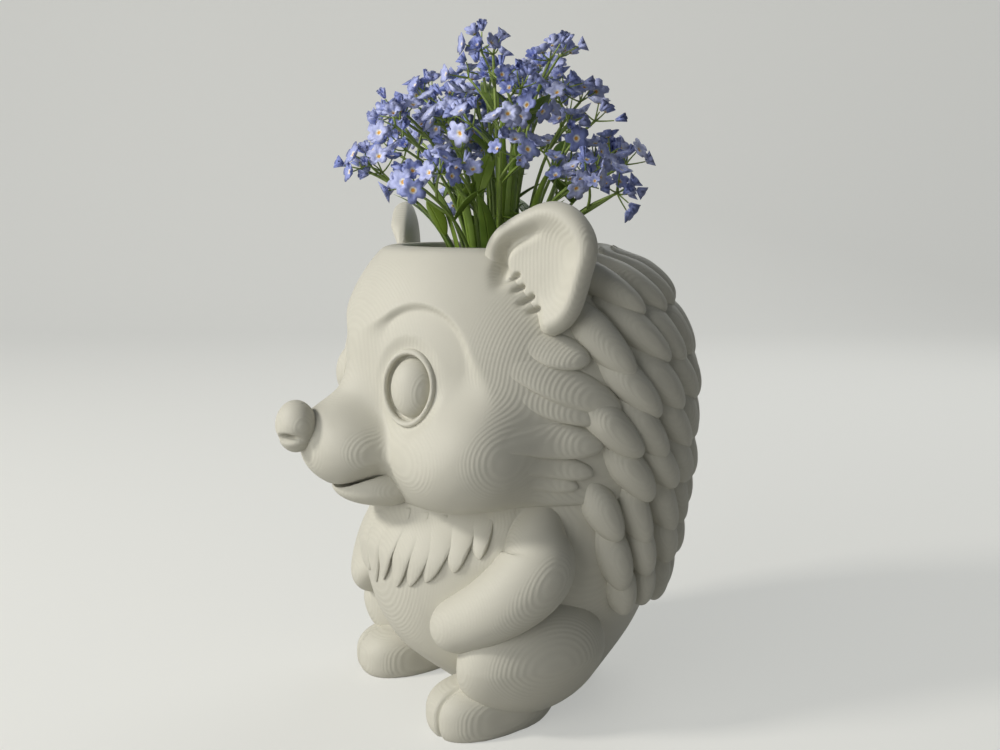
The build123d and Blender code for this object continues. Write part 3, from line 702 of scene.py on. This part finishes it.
arm_share = np.sin(np.linspace(0, np.pi / 2 - 0.02, 64))
arm_path = smooth_curve(np.linspace(0, 1, len(ARM_PATH)), ARM_PATH, arm_share)
arm_knots, arm_values = np.array(ARM_RADII).T
arm_radius = smooth_curve(arm_knots, arm_values, arm_share) * blunt(arm_share, 0.82)
arm_outward = unit((arm_path - [0, 11, 0]) * [1, 1, 0])
arm_points = sunk(limb(arm_path, arm_outward, arm_radius, arm_radius, 56), LIMB_SINK)
for side, flip in (("left", 1), ("right", -1)):
    arm = grid_object(f"{side}_forelimb", arm_points * [flip, 1, 1])
    settle(arm, "planter", "print", print_grey, f"{side}_arm")


# Thighs and feet: printed haunches pegged to the torso's sides, each with a flat soled foot in front.
# A groove parts the toes of each foot.
THIGH_MIDDLE = np.array([35.0, -8.6, 22.5])
THIGH_RADII = np.array([14.0, 25.4, 20.0])
THIGH_TUCK = 0.22
FOOT_MIDDLE = np.array([27.0, -18.2, 5.5])
FOOT_RADII = np.array([12.6, 21.4, 10.4])
FOOT_BLUNTNESS = 2.7
TOE_GROOVE = 3.0
TOE_GROOVE_WIDTH = 0.85
TOE_GROOVE_DEPTH = 1.6

thigh_points = THIGH_MIDDLE + egg_rings(72, 72) * THIGH_RADII
thigh_points[..., 0] -= THIGH_TUCK * np.maximum(THIGH_MIDDLE[2] - thigh_points[..., 2], 0)
thigh_points = sunk(thigh_points, LIMB_SINK)
thigh_points[..., 2] = np.maximum(thigh_points[..., 2], 1.0)
foot_unit = egg_rings(96, 128)
foot_blunt = 2 + (FOOT_BLUNTNESS - 2) * ramp(foot_unit[..., 1:2], 0.2, -0.4)
foot_full = np.sum(np.abs(foot_unit)**foot_blunt, axis=-1, keepdims=True)**(-1 / foot_blunt)
foot_points = FOOT_MIDDLE + foot_unit * foot_full * FOOT_RADII
toes = ramp(foot_unit[..., 1], -0.3, -0.75)[..., None]
beside = (foot_points[..., [0]] - FOOT_MIDDLE[0] - TOE_GROOVE) / TOE_GROOVE_WIDTH
foot_points -= TOE_GROOVE_DEPTH * toes * np.exp(-beside**2) * foot_unit
foot_points[..., 2] = np.maximum(foot_points[..., 2], 0)
for side, flip in (("left", 1), ("right", -1)):
    thigh = grid_object(f"{side}_haunch", thigh_points * [flip, 1, 1])
    settle(thigh, "planter", "print", print_grey, f"{side}_thigh")
    foot = grid_object(f"{side}_hind_foot", foot_points * [flip, 1, 1])
    settle(foot, "planter", "print", print_grey, f"{side}_foot")


# Quills: thick rounded printed scales in rows round the back, each row lapped over the next one down.
# Behind the ears and cheeks they lean back, and lower down they hang straight.
QUILL_TOP = 137.0
QUILL_PITCH = 13.5
QUILL_STEP = 14.0
QUILL_SPREADS = [84, 91, 84, 91, 84, 91, 84, 77]
QUILL_ABOVE = 9.5
QUILL_BELOW = 12.5
QUILL_WIDE_SHARE = 0.47
QUILL_THICK = 5.5
QUILL_LEAN = 0.34
QUILL_SINK = 3.6
QUILL_LIFT = 7.2
quill_chance = np.random.default_rng(3)

quill_share = np.sin(np.linspace(0, np.pi / 2 - 0.03, 26))
quill_form = blunt(quill_share, 0.38) * (0.65 + 0.35 * ramp(quill_share, 0, 0.45))
for row, spread in enumerate(QUILL_SPREADS):
    first = QUILL_STEP / 2 * (row % 2)
    half = np.arange(first, spread + 0.1, QUILL_STEP)
    off_back = np.radians(np.concatenate([-half[half > 0][::-1], half]))[:, None]
    level = QUILL_TOP - QUILL_PITCH * row
    _, down = body_runs(np.pi - off_back, level)
    steep = np.abs(down[..., 2])
    longer, wider, aside = quill_chance.uniform(-1, 1, (3,) + off_back.shape)
    quill_length = (QUILL_ABOVE + QUILL_BELOW) * (1 + 0.1 * longer)
    quill_height = level + steep * (QUILL_ABOVE - quill_length * quill_share)
    lean = QUILL_LEAN * np.sign(off_back) * ramp(np.abs(off_back), 0.2, 1.2) * ramp(level, 10, 105)
    quill_turn = np.pi - off_back + lean * (quill_share - 0.4) + 0.04 * aside * quill_share
    quill_out = -QUILL_SINK + QUILL_LIFT * quill_share
    quill_path = body_point(quill_turn, quill_height, quill_out)
    quill_normal, _ = body_runs(quill_turn, quill_height)
    wide, deep, _ = smooth_curve(BODY_LEVELS, BODY_OVALS, np.array(level))
    quill_wide = QUILL_WIDE_SHARE * np.radians(QUILL_STEP) * (wide + deep) / 2
    quill_wide = quill_wide * (1 + 0.08 * wider) * quill_form
    quill_points = limb(quill_path, quill_normal, quill_wide, QUILL_THICK * quill_form, 28)
    quills = grid_object(f"quill_band_{row + 1}", sunk(quill_points, LIMB_SINK))
    settle(quills, "planter", "print", print_grey, f"quill_row_{row + 1}")


# Grow pot: the thin black plastic pot that the plant came in, hung by its flange on the ledge.
# Its surface is lightly pitted and dusty from handling.
POT_COLOUR = (0.03, 0.03, 0.032, 1)
POT_DUST = (0.075, 0.07, 0.062, 1)

pot_black, shader, coordinates = new_material("pot_plastic", 0.5, POT_COLOUR)
place = Shade(pot_black.node_tree, coordinates.outputs["Object"])
dust = place.noise(120.0, 5.0)
pits = place.noise(1800.0)
bump = pits.node("ShaderNodeBump", sockets={"Distance": 0.05 * MM, "Height": pits})
dusty = (dust * 2 - 0.7).limited().mix(POT_COLOUR, POT_DUST)
feed(shader, Base_Color=dusty, Roughness=dust * 0.3 + 0.35, Normal=bump)
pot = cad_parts["grow_pot"]
pot.data.materials.clear()
pot.data.materials.append(pot_black)


# Drain plug: a moulded black rubber stopper with a pale bloom, pressed from above into the drain
# hole. Its flange rests on the floor of the torso, and it is pulled out by its knob.
RUBBER_COLOUR = (0.022, 0.022, 0.024, 1)
RUBBER_BLOOM = (0.05, 0.05, 0.052, 1)

rubber, shader, coordinates = new_material("stopper_rubber", 0.75, RUBBER_COLOUR)
place = Shade(rubber.node_tree, coordinates.outputs["Object"])
bloom = place.noise(260.0, 4.0)
bump = bloom.node("ShaderNodeBump", sockets={"Distance": 0.08 * MM, "Height": bloom})
feed(shader, Base_Color=bloom.mix(RUBBER_COLOUR, RUBBER_BLOOM), Roughness=bloom * 0.3 + 0.6, Normal=bump)
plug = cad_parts["drain_plug"]
plug.data.materials.clear()
plug.data.materials.append(rubber)


# Potting soil: loose dark peat with lighter crumbs, packed into the grow pot round the roots.
# Its top is lumpy and heaped a little round the stems.
SOIL_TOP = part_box("potting_soil")[1][2] / MM
SOIL_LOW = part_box("potting_soil")[0][2] / MM
SOIL_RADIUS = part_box("potting_soil")[1][0] / MM
SOIL_FOOT_RADIUS = 18.3
SOIL_HEAP = 3.0
SOIL_LUMPS = 1.1
SOIL_COLOUR = (0.035, 0.026, 0.016, 1)
CRUMB_COLOUR = (0.12, 0.085, 0.05, 1)

ring_share = np.linspace(0.02, 1, 60)[:, None]
soil_x, soil_y = SOIL_RADIUS * ring_share * np.sin(turns), SOIL_RADIUS * ring_share * np.cos(turns)
lumps = np.sin(1.3 * soil_x + 2 * np.sin(0.7 * soil_y)) * np.sin(1.1 * soil_y + 2 * np.sin(0.9 * soil_x))
soil_z = SOIL_TOP + (SOIL_HEAP * (1 - ring_share**2) + SOIL_LUMPS * lumps) * ramp(ring_share, 1, 0.8)
soil_top = np.stack([soil_x, soil_y, soil_z], -1)
soil_side = rings([
    (SOIL_RADIUS, SOIL_RADIUS, 0, SOIL_TOP - 0.4), (SOIL_FOOT_RADIUS, SOIL_FOOT_RADIUS, 0, SOIL_LOW),
    (1, 1, 0, SOIL_LOW),
], np.pi - turns)
soil = grid_object("soil", np.concatenate([soil_top, soil_side]))
peat, shader, coordinates = new_material("peat", 0.95, SOIL_COLOUR)
place = Shade(peat.node_tree, coordinates.outputs["Object"])
crumbs = place.noise(700.0, 6.0)
bump = crumbs.node("ShaderNodeBump", sockets={"Distance": 0.8 * MM, "Height": crumbs})
feed(shader, Base_Color=(crumbs * 3 - 1.2).limited().mix(SOIL_COLOUR, CRUMB_COLOUR), Normal=bump)
settle(soil, "planting", "soil", peat, "potting_soil")


# Stems: thin green stalks that rise from one clump and lean out. Each forks near its top into
# three sprays, and each spray into short stalks with a flower on every one.
STEM_COUNT = 30
STEM_RADIUS = 0.65
CLUMP_RADIUS = 12.0
BOUQUET_RADIUS = 46.0
BOUQUET_HEIGHT = 88.0
BOUQUET_DROP = 38.0
BOUQUET_UNEVEN = 22.0
STEM_BEND_SHARE = 0.72
GOLDEN_TURN = np.radians(137.508)
# Share of the stem at which each of its sprays leaves it, and how far the spray stands off
SPRAY_SHARES = [1.0, 0.82, 0.68]
SPRAY_OFFSETS = [0.0, 13.0, 15.0]
SPRAY_LOWEST = 163.0
SPRAY_FLOWERS = 5
SPRAY_RADIUS = 5.6
SPRAY_DEPTH = 6.5
BRANCH_RADIUS = 0.5
STALK_RADIUS = 0.3
STEM_COLOUR = (0.15, 0.24, 0.04, 1)
STEM_TIP_COLOUR = (0.3, 0.4, 0.1, 1)
chance = np.random.default_rng(7)


def arc(start, elbow, end, share):
    """A curve from a start towards an elbow and round to an end, as a quadratic Bezier."""
    share = np.asarray(share, float)[:, None]
    start, elbow, end = (np.asarray(point)[..., None, :] for point in (start, elbow, end))
    return (1 - share)**2 * start + 2 * share * (1 - share) * elbow + share**2 * end


def about_axis(radius, turn, height):
    """Points at a radius from the pot's axis, at turns from the front, and at heights."""
    return np.stack([radius * np.sin(turn), -radius * np.cos(turn), height + 0 * turn], -1)


def stalks(name, start, elbow, end, radius, rows, columns):
    """Round stalks along arcs, thinning to two thirds at their ends."""
    share = np.linspace(0, 1, rows)
    path = arc(start, elbow, end, share)
    beside = unit(np.cross(path[..., -1, :] - path[..., 0, :], [0.31, 0.57, 0.76]))[..., None, :]
    size = radius * (1 - share / 3)
    return grid_object(name, limb(path, beside, size, size, columns))


stem_number = np.arange(STEM_COUNT)
stem_reach = np.sqrt((stem_number + 0.5) / STEM_COUNT)
stem_turn = stem_number * GOLDEN_TURN
stem_top = SOIL_TOP + BOUQUET_HEIGHT - BOUQUET_DROP * stem_reach**2
stem_top = stem_top - BOUQUET_UNEVEN * chance.uniform(0, 1, STEM_COUNT)**1.5
stem_top = np.maximum(stem_top, SPRAY_LOWEST)
stem_bend = SOIL_TOP + STEM_BEND_SHARE * (stem_top - SOIL_TOP)
stem_root = about_axis(CLUMP_RADIUS * stem_reach, stem_turn, SOIL_TOP)
stem_elbow = about_axis(CLUMP_RADIUS * stem_reach, stem_turn, stem_bend)
stem_tip = about_axis(BOUQUET_RADIUS * stem_reach, stem_turn, stem_top)
stems = stalks("stems", stem_root, stem_elbow, stem_tip, STEM_RADIUS, 16, 8)
green, shader, coordinates = new_material("stem_green", 0.6, STEM_COLOUR)
place = Shade(green.node_tree, coordinates.outputs["Object"])
height = place.parts()[2]
streaks = place.noise(300.0, 4.0)
# Paler green higher up: above 150 mm the stalks turn towards the tip colour, broken up by streaks
paler_higher = ((height - 0.15) * 16 + streaks * 0.7 - 0.1).limited()
bump = streaks.node("ShaderNodeBump", sockets={"Distance": 0.15 * MM, "Height": streaks})
feed(shader, Base_Color=paler_higher.mix(STEM_COLOUR, STEM_TIP_COLOUR), Normal=bump)
settle(stems, "planting", "stem", green, "flower_stems")

spray_root = arc(stem_root, stem_elbow, stem_tip, SPRAY_SHARES)
stem_run = unit(stem_tip - stem_elbow)[:, None]
spray_wander = unit(chance.normal(0, 1, spray_root.shape) * [1, 1, 0.35])
spray_run = unit(0.7 * stem_run + spray_wander * np.array([[0.15], [0.8], [0.9]]) + [0, 0, 0.55])
spray_middle = spray_root + np.array(SPRAY_OFFSETS)[:, None] * spray_run
spray_middle[..., 2] = np.maximum(spray_middle[..., 2], SPRAY_LOWEST)
spray_elbow = (spray_root + spray_middle) / 2 + 2 * stem_run
branches = stalks(
    "branches", spray_root[:, 1:].reshape(-1, 3), spray_elbow[:, 1:].reshape(-1, 3),
    spray_middle[:, 1:].reshape(-1, 3), BRANCH_RADIUS, 6, 6,
)
settle(branches, "planting", "stem", green)

flower_shape = (STEM_COUNT, len(SPRAY_SHARES), SPRAY_FLOWERS)
flower_turn = np.arange(SPRAY_FLOWERS) * GOLDEN_TURN + chance.uniform(0, 2 * np.pi, flower_shape[:2] + (1,))
flower_off = SPRAY_RADIUS * np.sqrt((np.arange(SPRAY_FLOWERS) + 0.4) / SPRAY_FLOWERS)
flower_off = flower_off * chance.uniform(0.8, 1.25, flower_shape)
spray_side = unit(np.cross(spray_run, [0.2, 0.3, 0.93]))
spray_fore = np.cross(spray_run, spray_side)
spread = np.cos(flower_turn)[..., None] * spray_side[:, :, None]
spread = spread + np.sin(flower_turn)[..., None] * spray_fore[:, :, None]
flower_lift = SPRAY_DEPTH * chance.uniform(0.35, 1.0, flower_shape) - 0.05 * flower_off**2
flower_place = spray_middle[:, :, None] + flower_off[..., None] * spread
flower_place = (flower_place + flower_lift[..., None] * spray_run[:, :, None]).reshape(-1, 3)
flower_out = spray_run[:, :, None] + 0.17 * flower_off[..., None] * spread
flower_out = unit(flower_out + chance.normal(0, 0.33, flower_shape + (3,))).reshape(-1, 3)
stalk_root = np.repeat(spray_middle.reshape(-1, 3), SPRAY_FLOWERS, 0)
stalk_elbow = (stalk_root + flower_place) / 2 - 1.2 * flower_out
pedicels = stalks("pedicels", stalk_root, stalk_elbow, flower_place - 0.5 * flower_out, STALK_RADIUS, 4, 5)
settle(pedicels, "planting", "stem", green)


# Flowers: five blue petals round a yellow eye with a white ring, about eight millimetres across.
# They open one after another, so that each spray has open flowers, cups and buds.
FLOWER_RADIUS = 4.0
PETALS = 5
PETAL_COLUMNS = 4
CUP_DEPTH = 4.2
# Share of the radius and height of each ring, from the eye out to the edge and back underneath
BLOOM_RINGS = np.array([(0.12, 0.0), (0.5, 0.5), (1.0, 0.8), (0.3, -0.7)])
BLUE_DEEP = (0.15, 0.2, 0.54, 1)
BLUE_PALE = (0.62, 0.66, 0.93, 1)
EYE_YELLOW = (0.72, 0.36, 0.05, 1)
EYE_WHITE = (0.75, 0.74, 0.7, 1)

flower_count = len(flower_place)
petal_turn = np.linspace(0, 2 * np.pi, PETALS * PETAL_COLUMNS, endpoint=False)
petal_edge = 0.6 + 0.4 * np.abs(np.sin(PETALS * petal_turn / 2))**0.6
bloom_open = 1 - 0.78 * chance.uniform(0, 1, (flower_count, 1, 1))**2.6
bloom_size = FLOWER_RADIUS * chance.uniform(0.8, 1.08, (flower_count, 1, 1))
bloom_radius = bloom_size * bloom_open * BLOOM_RINGS[:, :1] * petal_edge
bloom_height = BLOOM_RINGS[:, 1:] + CUP_DEPTH * (1 - bloom_open) * BLOOM_RINGS[:, :1] + 0 * petal_turn
bloom_side = unit(np.cross(flower_out, chance.normal(0, 1, (flower_count, 3))))
bloom_fore = np.cross(flower_out, bloom_side)
bloom_points = flower_place[:, None, None] + bloom_height[..., None] * flower_out[:, None, None]
bloom_points = bloom_points + (bloom_radius * np.cos(petal_turn))[..., None] * bloom_side[:, None, None]
bloom_points = bloom_points + (bloom_radius * np.sin(petal_turn))[..., None] * bloom_fore[:, None, None]
bloom_tints = np.empty(bloom_points.shape[:3] + (2,))
bloom_tints[..., 0] = bloom_open * chance.uniform(0.1, 1, (flower_count, 1, 1))
bloom_tints[..., 1] = BLOOM_RINGS[:, :1] * petal_edge
flowers = grid_object("flowers", bloom_points, tints=bloom_tints)
petal_blue, shader, coordinates = new_material("petal_blue", 0.6, BLUE_PALE)
tree = petal_blue.node_tree
tint_map = tree.nodes.new("ShaderNodeUVMap")
tint_map.uv_map = "tint"
tint, off_eye, _ = Shade(tree, tint_map.outputs["UV"]).parts()
veins = Shade(tree, coordinates.outputs["Object"]).noise(900.0)
blue = (tint * 0.9 + veins * 0.3 - 0.1).limited().mix(BLUE_DEEP, BLUE_PALE)
petals = off_eye.node("ShaderNodeMapRange", sockets={"Value": off_eye, "From Min": 0.22, "From Max": 0.3})
eye_ring = off_eye.node("ShaderNodeMapRange", sockets={"Value": off_eye, "From Min": 0.11, "From Max": 0.18})
bloom_colour = petals.mix(eye_ring.mix(EYE_YELLOW, EYE_WHITE), blue)
feed(shader, Base_Color=bloom_colour, Roughness=veins * 0.3 + 0.45)
settle(flowers, "planting", "petal", petal_blue, "flower_heads")


# Leaves: soft lance shaped blades, long ones from the clump that lean over the rim and short ones
# half way up the stems, each creased along its midrib.
BASE_TURNS = np.radians([50, 90, 130, 230, 270, 310, 20, 72, 110, 160, 200, 250, 290, 340, 62, 100])
BASE_REACH = np.array([38, 38, 38, 38, 38, 38, 28, 27, 30, 26, 28, 25, 27, 26, 22, 27.0])
BASE_RISE = np.array([40, 38, 40, 40, 42, 40, 52, 58, 44, 54, 48, 58, 50, 46, 66, 50.0])
BASE_WIDE = np.array([2.8, 3.0, 2.6, 3.0, 2.6, 3.0, 1.9, 1.7, 2.0, 1.8, 2.0, 1.8, 2.0, 2.0, 1.6, 1.8])
BASE_ROOT = 13.0
STEM_LEAF_LENGTH = 19.0
STEM_LEAF_WIDE = 2.8
LEAF_THICK = 0.4
LEAF_CREASE = 0.9
LEAF_COLOUR = (0.07, 0.135, 0.018, 1)
LEAF_LIT_COLOUR = (0.3, 0.44, 0.055, 1)

base_root = about_axis(BASE_ROOT * (0.5 + 0.5 * BASE_REACH / 38), BASE_TURNS, SOIL_TOP)
base_elbow = about_axis(BASE_ROOT, BASE_TURNS, SOIL_TOP + 0.8 * BASE_RISE)
base_tip = about_axis(BASE_REACH, BASE_TURNS, SOIL_TOP + BASE_RISE)
leaf_share = chance.uniform(0.4, 0.72, (STEM_COUNT, 1))
up_stem = (1 - leaf_share)**2 * stem_root + 2 * leaf_share * (1 - leaf_share) * stem_elbow
up_stem = up_stem + leaf_share**2 * stem_tip
leaf_wander = unit(chance.normal(0, 1, up_stem.shape) * [1, 1, 0.2])
leaf_length = STEM_LEAF_LENGTH * chance.uniform(0.7, 1.15, (STEM_COUNT, 1))
leaf_end = up_stem + leaf_length * unit(leaf_wander + [0, 0, 0.75])
leaf_root = np.concatenate([base_root, up_stem])
leaf_tip = np.concatenate([base_tip, leaf_end])
leaf_elbow = np.concatenate([base_elbow, (up_stem + leaf_end) / 2 + [0, 0, 3.5]])
leaf_wide = np.concatenate([BASE_WIDE, STEM_LEAF_WIDE * chance.uniform(0.8, 1.2, STEM_COUNT)])
blade_share = np.linspace(0.0, 0.995, 16)
blade_path = arc(leaf_root, leaf_elbow, leaf_tip, blade_share)
blade_form = (0.22 + 0.78 * np.sin(np.pi * blade_share**0.85)) * blunt(blade_share, 0.6)
blade_out = unit((leaf_tip - leaf_root) * [1, 1, 0] + [0.01, 0, 0])[:, None]
blade_points = limb(blade_path, blade_out, leaf_wide[:, None] * blade_form, LEAF_THICK * blade_form, 14)
blade_angle = np.linspace(0, 2 * np.pi, 14, endpoint=False)
crease = LEAF_CREASE * (np.abs(np.cos(blade_angle)) - 0.5) * blade_form[:, None]
blade_points = blade_points - crease[None, ..., None] * blade_out[:, None]
blade_tints = np.empty(blade_points.shape[:3] + (2,))
leaf_tint = np.concatenate([np.linspace(0.15, 0.8, len(BASE_TURNS)), chance.uniform(0, 1, STEM_COUNT)])
blade_tints[..., 0] = leaf_tint[:, None, None]
blade_tints[..., 1] = 0.5 + 0.5 * np.cos(blade_angle)
leaves = grid_object("leaf_blades", blade_points, tints=blade_tints)
leaf_green, shader, coordinates = new_material("leaf_green", 0.5, LEAF_COLOUR)
tree = leaf_green.node_tree
tint_map = tree.nodes.new("ShaderNodeUVMap")
tint_map.uv_map = "tint"
tint, across, _ = Shade(tree, tint_map.outputs["UV"]).parts()
mottle = Shade(tree, coordinates.outputs["Object"]).noise(220.0, 4.0)
off_rib = across.math("ABSOLUTE", across - 0.5)
rib = (1 - off_rib * 18).limited()
shade = (tint * 0.8 + mottle * 0.35 - 0.1 + rib * 0.25).limited()
bump = mottle.node("ShaderNodeBump", sockets={"Distance": 0.3 * MM, "Height": mottle - rib})
feed(shader, Base_Color=shade.mix(LEAF_COLOUR, LEAF_LIT_COLOUR), Roughness=mottle * 0.3 + 0.35, Normal=bump)
settle(leaves, "planting", "leaf", leaf_green, "leaves")


# Stage: a pale painted floor that runs up through a round cove into a plain wall.
# A small key lamp and a wide soft one light the front, and a weaker lamp lights the back.
FLOOR_COLOUR = (0.43, 0.425, 0.4, 1)
STAGE_GLOW = (0.4, 0.405, 0.39, 1)
ROOM_LIGHT = (0.117, 0.124, 0.13, 1)
ROOM_SEEN = (0.6, 0.61, 0.59, 1)
VIEW_TURN = np.radians(60)
VIEW_PLACE = np.array([0.317, -0.183, 0.160])
VIEW_PITCH = np.radians(8.655)
VIEW_LENS = 40.68
COVE_START = 1.0
COVE_RADIUS = 0.5
STAGE_NEAR = -1.6
STAGE_TOP = 2.2
STAGE_HALF = 3.0

cove = np.linspace(0, np.pi / 2, 24)
stage_run = COVE_START + COVE_RADIUS * np.sin(cove)
stage_run = np.concatenate([[STAGE_NEAR], stage_run, [COVE_START + COVE_RADIUS]])
stage_rise = np.concatenate([[0], COVE_RADIUS * (1 - np.cos(cove)), [STAGE_TOP]])
away = np.array([-np.sin(VIEW_TURN), np.cos(VIEW_TURN)])
beside = np.array([np.cos(VIEW_TURN), np.sin(VIEW_TURN)])
stage_sides = np.array([-STAGE_HALF, STAGE_HALF])
stage_flat = stage_run[:, None, None] * away + stage_sides[:, None] * beside
stage_points = np.concatenate([stage_flat, np.broadcast_to(stage_rise[:, None, None], (26, 2, 1))], -1)
stage_number = np.arange(52).reshape(26, 2)
near_row, far_row = stage_number[:-1], stage_number[1:]
stage_faces = np.stack([near_row[:, 0], near_row[:, 1], far_row[:, 1], far_row[:, 0]], -1)
stage_mesh = bpy.data.meshes.new("stage")
stage_mesh.from_pydata(stage_points.reshape(-1, 3).tolist(), [], stage_faces.tolist())
stage_mesh.polygons.foreach_set("use_smooth", np.ones(len(stage_faces), bool))
stage = bpy.data.objects.new("stage", stage_mesh)
bpy.context.collection.objects.link(stage)
stage_paint, shader, coordinates = new_material("stage_paint", 0.85, FLOOR_COLOUR)
shader.inputs["Base Color"].default_value = FLOOR_COLOUR
shader.inputs["Emission Strength"].default_value = 1.0
rays = stage_paint.node_tree.nodes.new("ShaderNodeLightPath")
seen = Shade(stage_paint.node_tree, rays.outputs["Is Camera Ray"])
seen = seen + Shade(stage_paint.node_tree, rays.outputs["Is Glossy Ray"])
feed(shader, Emission_Color=seen.limited().mix((0, 0, 0, 1), STAGE_GLOW))
stage_mesh.materials.append(stage_paint)


def lamp(name, place, target, size, power, colour):
    """A soft square lamp at a place, turned to a target."""
    light = bpy.data.lights.new(name, "AREA")
    light.size = size
    light.energy = power
    light.color = colour
    holder = bpy.data.objects.new(name, light)
    run = np.asarray(target, float) - np.asarray(place, float)
    flat = np.hypot(run[0], run[1])
    holder.location = place
    tilt = np.pi / 2 + np.arctan2(run[2], flat)
    holder.rotation_euler = (tilt, 0, np.arctan2(run[1], run[0]) - np.pi / 2)
    bpy.context.collection.objects.link(holder)


lamp("key", (-0.24, -1.06, 0.82), (0, 0, 0.08), 0.2, 10, (1.0, 0.97, 0.91))
lamp("soft", (0.4, -1.3, 0.3), (0, 0, 0.1), 1.2, 12.5, (1.0, 0.99, 0.96))
lamp("back", (-0.4, 0.75, 0.75), (0, 0, 0.1), 0.6, 2.5, (0.97, 0.99, 1.0))
world = bpy.data.worlds.new("room")
world.use_nodes = True
background = world.node_tree.nodes["Background"]
background.inputs["Strength"].default_value = 1.0
world_rays = world.node_tree.nodes.new("ShaderNodeLightPath")
in_view = Shade(world.node_tree, world_rays.outputs["Is Camera Ray"])
feed(background, Color=in_view.mix(ROOM_LIGHT, ROOM_SEEN))
bpy.context.scene.world = world
bpy.context.scene.view_settings.view_transform = "Standard"

camera = bpy.data.objects.new("camera", bpy.data.cameras.new("camera"))
camera.data.lens = VIEW_LENS
camera.data.clip_start = 0.01
camera.location = VIEW_PLACE
camera.rotation_euler = (np.pi / 2 - VIEW_PITCH, 0, VIEW_TURN)
bpy.context.collection.objects.link(camera)
bpy.context.scene.camera = camera
